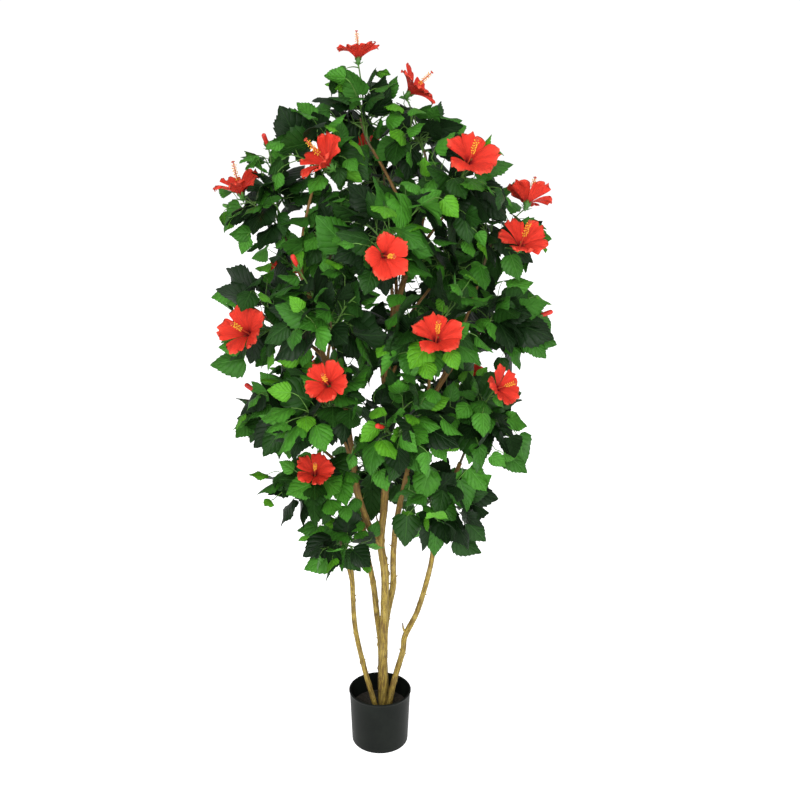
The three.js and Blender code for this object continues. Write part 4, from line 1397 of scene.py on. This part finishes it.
def calyx_shape():
    """A green cup of five pointed lobes with a ring of narrow bracts below it. It holds a flower's foot."""
    points = [(0.0, 0.0, -5.0)]
    for radius, height, lobe in CUP_RINGS:
        for k in range(CUP_SIDES):
            angle = 2 * math.pi * k / CUP_SIDES
            point = max(0.0, math.cos(2.5 * (angle % (2 * math.pi / 5)) - math.pi / 2)) ** 0.8
            reach = lobe * (point - 0.35)
            r = radius + 0.22 * max(reach, 0)
            points.append((r * math.cos(angle), r * math.sin(angle), height + reach))
    points.append((0.0, 0.0, 2.0))
    faces = capped_faces(len(CUP_RINGS), CUP_SIDES)
    for k in range(BRACTS):
        way = facing(k * 360 / BRACTS, 24)
        foot = np.array((0, 0, -1.5)) + way * 1.2
        bract = bent(foot, foot + way * 8, foot + way * 14 + UP)
        points, faces = joined(points, faces, *tube_points(bract, lambda s: 1.5 - 1.2 * s, 4, 3))
    return solid_mesh("calyx", points, faces)


BUD_RINGS = ((3.4, 4), (4.6, 10), (5.6, 17), (6.1, 24), (6.2, 31), (6.5, 37), (6.0, 42), (3.6, 45))
BUD_SIDES = 30


def bud_shape():
    """A furled bud: petals wound round each other into a spindle."""
    points = [(0.0, 0.0, 3.0)]
    for radius, height in BUD_RINGS:
        for k in range(BUD_SIDES):
            angle = 2 * math.pi * k / BUD_SIDES
            wound = 5 * angle + height * 0.13
            r = radius * (1 + 0.13 * (abs(math.cos(wound / 2)) ** 0.6 - 0.7))
            points.append((r * math.cos(angle), r * math.sin(angle), height))
    points.append((0.0, 0.0, 46.0))
    return solid_mesh("bud", points, capped_faces(len(BUD_RINGS), BUD_SIDES))


# ---- Bark ----

KNOT_REACH = 22  # how far from its middle a knot is felt along a limb
KNOT_LENGTH, KNOT_TURN = 3.6, 0.55  # how far a knot of size 1 spreads along a limb, and round it in radians
RING_LENGTH = 6.5
STUB_SIDES, STUB_STEPS = 8, 5


def knots_along(length, apart, rng):
    """Knots along a limb: (distance from its foot, which way it faces round the limb, size)."""
    knots, distance = [], rng.uniform(0.3, 1) * apart
    while distance < length - 12:
        knots.append((distance, rng.uniform(0, 2 * math.pi), rng.uniform(0.6, 1.3)))
        distance += apart * rng.uniform(0.45, 1.5)
    return knots


def bark_relief(knots, base, angle, along, seed):
    """The radius at a place on a limb of radius base, and how much of a knot it is."""
    c, s = math.cos(angle), math.sin(angle)
    unrolled = Vector((c * base, s * base, along * 0.16))
    radius = base * (1 + 0.07 * noise.noise(Vector((c, s, along * 0.02 + seed))))
    radius += base * 0.055 * noise.noise(unrolled * 0.45 + Vector((seed, 0, 0)))
    radius += 0.32 * noise.noise(Vector((c * base * 0.9, s * base * 0.9, along * 0.1)))
    dark = 0.0
    for where, towards, size in knots:
        if abs(along - where) < KNOT_REACH:
            turn = (angle - towards + math.pi) % (2 * math.pi) - math.pi
            near = math.exp(-(((along - where) / (KNOT_LENGTH * size)) ** 2))
            near *= math.exp(-((turn / KNOT_TURN) ** 2))
            ring = math.exp(-(((along - where) / RING_LENGTH) ** 2))
            radius += base * (0.24 * size * near + 0.05 * ring)
            dark = max(dark, near**2 * 0.9 * size)
    return radius, min(dark, 1)


def stub_skin(centre, tangent, base, towards, long, thick, upright):
    """A cut side branch on a limb: its points, its faces, its foot and how dark each point is."""
    out = facing(towards, 0)
    out = unit(out - tangent * (out @ tangent))
    way = unit(out * (1 - 0.55 * upright) + UP * upright + tangent * 0.4)
    foot = centre + out * base * 0.35
    bend = foot + (out + way) * (base * 0.3 + long * 0.25)
    tip = foot + out * base * 0.6 + way * long + UP * long * 0.2 * upright
    line = bent(foot, bend, tip)
    points, faces = tube_points(line, lambda s: thick * (1.25 - 0.75 * s), STUB_SIDES, STUB_STEPS)
    reach = np.linalg.norm(points - foot, axis=1) / (base * 0.6 + long)
    return points, faces, foot, 0.15 + 0.75 * np.clip(reach - 0.75, 0, 0.25) * 4


def bark_tube(run, radii, seed, step, sides, knots_apart, stubs):
    """A limb's skin in millimetres: a tapering tube with swellings, knots and cut stubs. With it go, for each
    point, its place on the unrolled grain and how much of a knot it is."""
    rng = np.random.default_rng(seed)
    count = max(6, round(run.length / step))
    shares = np.linspace(0, 1, count + 1)
    knots = knots_along(run.length, knots_apart, rng)
    tangents = [run.tangent(float(x)) for x in shares]
    side = unit(np.cross(tangents[0], (0.31, 0.95, 0.1)))
    points, grain, dark, frames = [], [], [], []
    for share, tangent in zip(shares, tangents):
        side = unit(side - tangent * (side @ tangent))
        up = np.cross(tangent, side)
        along = share * run.length
        centre = run.at(float(share))
        base = radii[0] + (radii[1] - radii[0]) * share
        frames.append((centre, tangent, base))
        for k in range(sides):
            angle = 2 * math.pi * k / sides
            c, s = math.cos(angle), math.sin(angle)
            radius, knot = bark_relief(knots, base, angle, along, seed)
            points.append(centre + (side * c + up * s) * radius)
            grain.append((c * base * MM, s * base * MM, along * MM))
            dark.append(knot)
    foot, tip = len(points), len(points) + 1
    centre, tangent, base = frames[-1]
    points = np.vstack([points, [frames[0][0]], [centre + tangent * base * 0.3]])
    grain += [(0, 0, 0), (0, 0, run.length * MM)]
    dark += [0.2, 0.6]
    last = count * sides
    faces = grid_faces(count + 1, sides, True)
    faces += [(foot, (k + 1) % sides, k) for k in range(sides)]
    faces += [(last + k, last + (k + 1) % sides, tip) for k in range(sides)]
    for where, *shape in stubs:
        ring = min(int(where / run.length * count), count)
        more_points, more_faces, stub_foot, more_dark = stub_skin(*frames[ring], *shape)
        points, faces = joined(points, faces, more_points, more_faces)
        grain += [(x * MM, y * MM, (where + z) * MM) for x, y, z in more_points - stub_foot]
        dark += list(more_dark)
    return points, faces, grain, dark


def bark_piece(name, parts, material):
    """Joins limbs' skins into one piece."""
    points, faces, grain, knot = np.zeros((0, 3)), [], [], []
    for more_points, more_faces, more_grain, more_dark in parts:
        points, faces = joined(points, faces, more_points, more_faces)
        grain += more_grain
        knot += more_dark
    mesh = solid_mesh(name, points, faces)
    attribute = mesh.attributes.new("grain", "FLOAT_VECTOR", "POINT")
    attribute.data.foreach_set("vector", np.array(grain, float).ravel())
    attribute = mesh.attributes.new("knot", "FLOAT", "POINT")
    attribute.data.foreach_set("value", np.array(knot, float))
    mesh.materials.append(material)
    return linked(name, mesh)


# ---- Settings ----


def size_setting(name, description, default):
    return bpy.props.FloatProperty(
        name=name, description=description, default=default, min=0.0001, unit="LENGTH", precision=4
    )


def colour_setting(name, description, default):
    return bpy.props.FloatVectorProperty(
        name=name, description=description, default=default, size=3, min=0, max=1, subtype="COLOR"
    )


class HibiscusSizes(bpy.types.PropertyGroup):
    """Sizes of the leaves, flowers and pot."""

    leaf_length: size_setting("Leaf length", "Length of a full grown leaf's blade", 0.084)
    leaf_spacing: size_setting("Leaf spacing", "Distance between leaves along a shoot", 0.0245)
    leaf_clearance: size_setting("Leaf clearance", "Least distance between the middles of two leaves", 0.031)
    stalk_length: size_setting("Stalk length", "Length of a leaf's stalk", 0.036)
    flower_scale: bpy.props.FloatProperty(name="Flower scale", description="Size of the flowers", default=1.0)
    pot_height: size_setting("Pot height", "Height of the pot", 0.149)
    pot_rim: size_setting("Pot rim radius", "Outer radius of the pot at its rim", 0.0825)
    pot_foot: size_setting("Pot foot radius", "Outer radius of the pot at its foot", 0.0745)
    pot_wall: size_setting("Pot wall", "Thickness of the pot's wall", 0.0025)
    filling_top: size_setting("Filling height", "Height of the filling's surface above the floor", 0.100)


class HibiscusColours(bpy.types.PropertyGroup):
    """Colours of the bark, leaves, flowers and pot."""

    bark: colour_setting("Bark", "Peeled wood", (0.335, 0.24, 0.04))
    bark_streak: colour_setting("Bark streak", "Streaks along the grain", (0.12, 0.072, 0.014))
    # the deep and dark greens are partly painted shade, since they go to leaves inside the crown
    deep: colour_setting("Deep leaf", "Oldest leaves, inside the crown", (0.004, 0.018, 0.003))
    dark: colour_setting("Dark leaf", "Old leaves", (0.01, 0.05, 0.004))
    middle: colour_setting("Middle leaf", "Full grown leaves", (0.028, 0.128, 0.009))
    bright: colour_setting("Bright leaf", "Young leaves", (0.05, 0.21, 0.014))
    lime: colour_setting("Lime leaf", "Youngest leaves", (0.085, 0.3, 0.01))
    vein: colour_setting("Vein", "Veins of the leaves", (0.15, 0.4, 0.08))
    shoot: colour_setting("Shoot", "Wire shoots and stalks", (0.12, 0.27, 0.04))
    petal: colour_setting("Petal", "Flowers", (0.74, 0.034, 0.016))
    eye: colour_setting("Eye", "The middle of a flower", (0.23, 0.004, 0.012))
    anther: colour_setting("Anther", "Pollen heads", (0.9, 0.46, 0.025))
    pot: colour_setting("Pot", "Moulded plastic", (0.0045, 0.0062, 0.005))
    filling: colour_setting("Filling", "Cement in the pot", (0.05, 0.042, 0.032))
    floor: colour_setting("Floor", "Studio floor", (0.86, 0.86, 0.86))


TINTS = ("deep", "dark", "middle", "bright", "lime")


class Maker(bpy.types.Operator):
    """What the operators share."""

    bl_options = {"REGISTER", "UNDO"}

    @property
    def sizes(self):
        return bpy.context.scene.hibiscus_sizes

    @property
    def colours(self):
        return bpy.context.scene.hibiscus_colours

# ---- Operators ----


class HIBISCUS_OT_stage(Maker):
    """Make the pale floor, the soft studio light and the camera"""

    bl_idname = "hibiscus.stage"
    bl_label = "Stage"

    CAMERA_AWAY = 2.2
    CAMERA_HEIGHT = 1.5
    LOOK_DOWN = 14.2
    LENS, SENSOR = 41.5, 36
    SHIFT = 0.025
    CLIP = (0.05, 60)
    AMBIENT, BACKDROP = 0.42, 1.05  # how bright the studio is for the plant, and as the camera sees it
    FLOOR_HALF, FLOOR_GLOW, FLOOR_SHADE = 30, 0.9, (0.8, 0.8, 0.8)
    LAMPS = (
        ("key", (-0.5, -3.1, 2.1), 1.4, 84),
        ("fill", (1.6, -2.8, 1.5), 2.0, 34),
        ("top", (0.2, -0.4, 3.6), 1.6, 20),
    )
    LIT = Vector((0, 0, 1.0))  # where the lamps point

    def execute(self, context):
        scene = context.scene
        scene.view_settings.view_transform = "Standard"
        data = bpy.data.cameras.new("camera")
        data.lens, data.sensor_width, data.shift_x = self.LENS, self.SENSOR, self.SHIFT
        data.clip_start, data.clip_end = self.CLIP
        camera = bpy.data.objects.new("camera", data)
        camera.location = (0, -self.CAMERA_AWAY, self.CAMERA_HEIGHT)
        camera.rotation_euler = (math.radians(90 - self.LOOK_DOWN), 0, 0)
        scene.collection.objects.link(camera)
        scene.camera = camera

        g = Graph("floor_paper")
        fine = g.noise(g.places(), 3.0, 2.0)
        paper = g.blend(fine * 0.04, tuple(self.colours.floor), self.FLOOR_SHADE)
        g.shader.inputs["Emission Color"].default_value = (1, 1, 1, 1)
        g.shader.inputs["Emission Strength"].default_value = self.FLOOR_GLOW
        half = self.FLOOR_HALF
        corners = [(-half, -half, 0), (half, -half, 0), (half, half, 0), (-half, half, 0)]
        floor = linked("floor", mesh_of("floor", corners, [(0, 1, 2, 3)]))
        floor.data.materials.append(g.finish(paper, 0.9))

        world = bpy.data.worlds.new("studio")
        world.use_nodes = True
        tree = world.node_tree
        sky = tree.nodes["Background"]
        sky.inputs["Color"].default_value = (1, 1, 1, 1)
        seen = tree.nodes.new("ShaderNodeLightPath")
        strength = tree.nodes.new("ShaderNodeMapRange")
        strength.inputs["To Min"].default_value = self.AMBIENT
        strength.inputs["To Max"].default_value = self.BACKDROP
        tree.links.new(seen.outputs["Is Camera Ray"], strength.inputs["Value"])
        tree.links.new(strength.outputs["Result"], sky.inputs["Strength"])
        scene.world = world
        for name, place, size, power in self.LAMPS:
            lamp = bpy.data.lights.new(name, "AREA")
            lamp.size, lamp.energy = size, power
            light = bpy.data.objects.new(name, lamp)
            light.location = place
            way = self.LIT - light.location
            light.rotation_mode = "QUATERNION"
            light.rotation_quaternion = way.to_track_quat("-Z", "Y")
            scene.collection.objects.link(light)
        return {"FINISHED"}


# The rim's section, from outside to inside: (distance out from the wall, height over the pot's own)
LIP_PROUD = 1.8
LIP = (
    (0.0, -6.2),
    (0.5, -5.4),
    (1.5, -4.4),
    (LIP_PROUD, -3.2),
    (LIP_PROUD, -1.2),
    (1.3, -0.3),
    (0.4, 0.0),
    (-1.2, 0.0),
    (-2.1, -0.4),
)
FOOT_ROUND = 5
FOOT_RECESS, RECESS_EDGE, RECESS_TOP = 0.6, 14.5, 16  # the dip under the pot, and its distance from the edge
POT_FLOOR = 4.0


def outer_radius(sizes):
    """A function of height that gives the pot's outer radius there, both in millimetres."""
    high, rim, foot = sizes.pot_height / MM, sizes.pot_rim / MM, sizes.pot_foot / MM
    return lambda height: foot + (rim - LIP_PROUD - foot) * height / high


class HIBISCUS_OT_pot(Maker):
    """Make the moulded plastic pot"""

    bl_idname = "hibiscus.pot"
    bl_label = "Pot"

    SIDES = 144

    def execute(self, context):
        outer = outer_radius(self.sizes)
        high, foot, wall = (v / MM for v in (self.sizes.pot_height, self.sizes.pot_foot, self.sizes.pot_wall))
        rim = self.sizes.pot_rim / MM - LIP_PROUD
        corner = outer(FOOT_ROUND) - FOOT_ROUND
        profile = [(0, FOOT_RECESS), (foot - RECESS_TOP, FOOT_RECESS)]
        profile += [(foot - RECESS_EDGE, 0.0), (foot - FOOT_ROUND, 0.0)]
        for angle in np.linspace(0.15, math.pi / 2, 7):
            profile.append((corner + FOOT_ROUND * math.sin(angle), FOOT_ROUND - FOOT_ROUND * math.cos(angle)))
        profile += [(outer(h), h) for h in np.linspace(10, high - 8, 12)]
        profile += [(rim + r, high + h) for r, h in LIP]
        profile += [(outer(h) - wall, h) for h in np.linspace(high - 2, 10, 10)]
        profile += [(outer(6) - wall - 2, 5.0), (outer(4) - wall - 6, POT_FLOOR), (0, POT_FLOOR)]
        mesh = solid_mesh("moulded_pot", *turned_profile(profile, self.SIDES))
        mesh.materials.append(pot_finish(tuple(self.colours.pot)))
        ride(linked("moulded_pot", mesh), "pot", "pot")
        return {"FINISHED"}


class HIBISCUS_OT_filling(Maker):
    """Make the rough cement that fills the pot, with the stems set into it"""

    bl_idname = "hibiscus.filling"
    bl_label = "Filling"

    RINGS, SIDES = 26, 96
    CLEAR = 0.5  # how far the cement stays from the wall
    FOOT = 5.0  # how high its underside lies
    DIP = 1.6  # how far the cement lies below its nominal top, away from the stems
    HEAPED = 3.2  # how far it is heaped up round a stem

    def execute(self, context):
        top = self.sizes.filling_top / MM
        wall = self.sizes.pot_wall / MM
        outer = outer_radius(self.sizes)

        def inner(height):
            return outer(height) - wall - self.CLEAR

        feet = [(knots[0], radii[0]) for name, (radii, knots) in STEMS.items() if name != "fork_left"]
        profile = [(0, self.FOOT), (inner(5) - 6, self.FOOT)]
        profile += [(inner(h), h) for h in np.linspace(8, top - 2, 8)]
        profile += [(inner(top) * r, top) for r in np.linspace(0.995, 0.03, self.RINGS)] + [(0, top)]
        points, faces = turned_profile(profile, self.SIDES)
        for p in points:
            if p[2] > top - 0.5:
                flat = Vector((p[0], p[1], 0))
                lump = noise.fractal(flat * 0.05, 1.0, 2.0, 4) * 1.6 + noise.noise(flat * 0.35) * 0.7
                edge = np.clip((inner(top) - flat.length) / 5, 0, 1)
                p[2] += min(lump, 1.2) - self.DIP - (1 - edge) * 1.2
                for stem, radius in feet:
                    gap = math.hypot(p[0] - stem[0], p[1] - stem[1])
                    p[2] += self.HEAPED * math.exp(-((max(gap - radius, 0) / 5) ** 2))
        mesh = solid_mesh("cement", points, faces)
        mesh.materials.append(filling_finish(tuple(self.colours.filling)))
        ride(linked("cement", mesh), "filling", "pot_filling")
        return {"FINISHED"}


# Where side branches were cut off each stem: (distance from its foot, turn from the front to the right,
# length, radius, and how upright it stands, from 0 to 1)
STUBS = {
    "trunk": [
        (152, 60, 4, 2.2, 0.3), (268, -70, 4, 2.2, 0.3), (358, 85, 5, 2.2, 0.3), (411, 80, 6, 2.2, 0.4),
        (522, -60, 24, 3.0, 0.9), (640, 70, 8, 2.2, 0.5),
    ],
    "stem_left": [
        (110, 80, 4, 1.7, 0.3), (147, 95, 5, 1.7, 0.3), (330, 85, 6, 1.6, 0.3), (420, -80, 5, 1.6, 0.4),
    ],
    "stem_back": [
        (190, -80, 5, 1.7, 0.3), (388, -85, 6, 1.9, 0.3), (470, 60, 6, 1.6, 0.5),
    ],
    "stem_right_back": [
        (236, 90, 5, 1.8, 0.3), (466, -85, 7, 2.0, 0.4), (372, 85, 5, 2.2, 0.2),
    ],
    "stem_right": [
        (162, 80, 5, 2.0, 0.3), (170, -85, 5, 2.1, 0.3), (222, -70, 24, 3.1, 0.95), (340, 85, 5, 1.6, 0.3),
        (470, -85, 6, 1.9, 0.3),
    ],
    "fork_left": [
        (70, -80, 6, 2.0, 0.4), (150, 80, 6, 1.7, 0.4), (390, -80, 7, 1.6, 0.5),
    ],
}


class HIBISCUS_OT_stems(Maker):
    """Make the wood stems, the fork and the boughs, with bark, knots and cut stubs"""

    bl_idname = "hibiscus.stems"
    bl_label = "Stems and boughs"

    STEM_SKIN = (4.0, 26, 62)  # distance between rings, sides, and distance between knots
    BOUGH_SKIN = (7.0, 12, 48)
    STEM_SEED, BOUGH_SEED = 11, 40

    def execute(self, context):
        plant = growth()
        wood = bark_finish("peeled_wood", tuple(self.colours.bark), tuple(self.colours.bark_streak))
        for seed, name in enumerate(STEMS, self.STEM_SEED):
            skin = bark_tube(*plant.limbs[name], seed, *self.STEM_SKIN, STUBS[name])
            ride(bark_piece("bark_" + name, [skin], wood), "bark", name)
        boughs = [name for name in plant.limbs if name.startswith("bough_")]
        skins = []
        for seed, name in enumerate(boughs, self.BOUGH_SEED):
            skins.append(bark_tube(*plant.limbs[name], seed, *self.BOUGH_SKIN, []))
        ride(bark_piece("bark_boughs", skins, wood), "bark", *boughs)
        return {"FINISHED"}


class HIBISCUS_OT_twigs(Maker):
    """Make the twigs, the shoots and the leaves' stalks"""

    bl_idname = "hibiscus.twigs"
    bl_label = "Twigs and stalks"

    def execute(self, context):
        plant = growth()
        shoot = tuple(self.colours.shoot)
        looks = {
            "wood": ("twigs", 7, stalk_finish("twig_bark", TWIG_BROWN, TWIG_SHADE)),
            "shoot": ("shoots", 6, stalk_finish("shoot_plastic", darker(shoot, 0.75), darker(shoot, 0.45))),
            "stalk": ("stalks", 4, stalk_finish("stalk_plastic", shoot, darker(shoot, 0.6))),
        }
        for kind, (name, sides, material) in looks.items():
            strands = [(points, radii) for points, radii, which in plant.strands if which == kind]
            piece = tubes(name, strands, sides, material)
            ride(piece, "foliage", *(nodes_named("foliage_") if kind == "shoot" else []))
        return {"FINISHED"}


class HIBISCUS_OT_leaves(Maker):
    """Make the leaves, in five greens"""

    bl_idname = "hibiscus.leaves"
    bl_label = "Leaves"

    SHAPES = 6
    VEIN_SHARE, VEIN_STEP = 0.1, 0.11  # how much veins stand out on the darkest green, and more on each next

    def execute(self, context):
        plant = growth()
        shapes = [leaf_shape(i) for i in range(self.SHAPES)]
        for number, tint in enumerate(TINTS):
            places = []
            for i, (root, along, face, size, which) in enumerate(plant.leaves):
                if which == number:
                    side = np.cross(along, face)
                    places.append((root, side, along, face, size * MM, (i * 7 + number) % self.SHAPES))
            colour = tuple(getattr(self.colours, tint))
            vein = between(colour, tuple(self.colours.vein), self.VEIN_SHARE + self.VEIN_STEP * number)
            piece = placed_copies("leaves_" + tint, shapes, places, leaf_finish("leaf_" + tint, colour, vein))
            ride(piece, "foliage")
        return {"FINISHED"}


class HIBISCUS_OT_flowers(Maker):
    """Make the flowers and buds with their cups, columns and pollen"""

    bl_idname = "hibiscus.flowers"
    bl_label = "Flowers and buds"

    SHAPES = 3
    FLOWER_TURN = 2.1  # how far each flower is turned on its axis from the one before
    BUD_CUP = 1.05

    def execute(self, context):
        colours = self.colours
        blooms, buds = [], []
        for i, (kind, foot, axis, size) in enumerate(growth().flowers):
            side = turned_about(unit(np.cross(axis, (0.2, 1.0, 0.1))), axis, i * self.FLOWER_TURN)
            turn = (foot, side, np.cross(axis, side), axis)
            (blooms if kind == "bloom" else buds).append((*turn, size, i % self.SHAPES))
        single_blooms, single_buds = ([(*place[:5], 0) for place in places] for places in (blooms, buds))
        cups = single_blooms + [(*place[:4], place[4] * self.BUD_CUP, 0) for place in buds]
        red = petal_finish(tuple(colours.petal), tuple(colours.eye))
        style = plain_finish("column_fabric", COLUMN_RED, 0.55)
        pollen = plain_finish("anther_fabric", tuple(colours.anther), 0.7)
        cup = stalk_finish("calyx_fabric", CUP_GREEN, CUP_SHADE)
        furled = plain_finish("bud_fabric", between(tuple(colours.petal), BUD_RED, 0.3), 0.55)
        for name, shapes, places, material in (
            ("petals", [flower_shape(i) for i in range(self.SHAPES)], blooms, red),
            ("columns", [column_shape()], single_blooms, style),
            ("anthers", [anthers_shape()], single_blooms, pollen),
            ("calyces", [calyx_shape()], cups, cup),
            ("buds", [bud_shape()], single_buds, furled),
        ):
            piece = placed_copies(name, shapes, places, material, self.sizes.flower_scale)
            ride(piece, "foliage")
        return {"FINISHED"}


class HIBISCUS_PT_panel(bpy.types.Panel):
    """Lists what makes the tree, with its sizes and colours"""

    bl_label = "Hibiscus tree"
    bl_idname = "HIBISCUS_PT_panel"
    bl_space_type = "VIEW_3D"
    bl_region_type = "UI"
    bl_category = "Hibiscus"

    def draw(self, context):
        for maker in MAKERS:
            self.layout.operator(maker.bl_idname)
        for group, store in ((HibiscusSizes, "hibiscus_sizes"), (HibiscusColours, "hibiscus_colours")):
            box = self.layout.box()
            for name in group.__annotations__:
                box.prop(getattr(context.scene, store), name)


MAKERS = (
    HIBISCUS_OT_stage,
    HIBISCUS_OT_pot,
    HIBISCUS_OT_filling,
    HIBISCUS_OT_stems,
    HIBISCUS_OT_twigs,
    HIBISCUS_OT_leaves,
    HIBISCUS_OT_flowers,
)
CLASSES = (HibiscusSizes, HibiscusColours, *MAKERS, HIBISCUS_PT_panel)


def register():
    for one in CLASSES:
        bpy.utils.register_class(one)
    bpy.types.Scene.hibiscus_sizes = bpy.props.PointerProperty(type=HibiscusSizes)
    bpy.types.Scene.hibiscus_colours = bpy.props.PointerProperty(type=HibiscusColours)


def unregister():
    del bpy.types.Scene.hibiscus_colours
    del bpy.types.Scene.hibiscus_sizes
    for one in reversed(CLASSES):
        bpy.utils.unregister_class(one)


def main():
    register()
    for maker in MAKERS:
        group, name = maker.bl_idname.split(".")
        getattr(getattr(bpy.ops, group), name)()


if __name__ == "__main__":
    main()
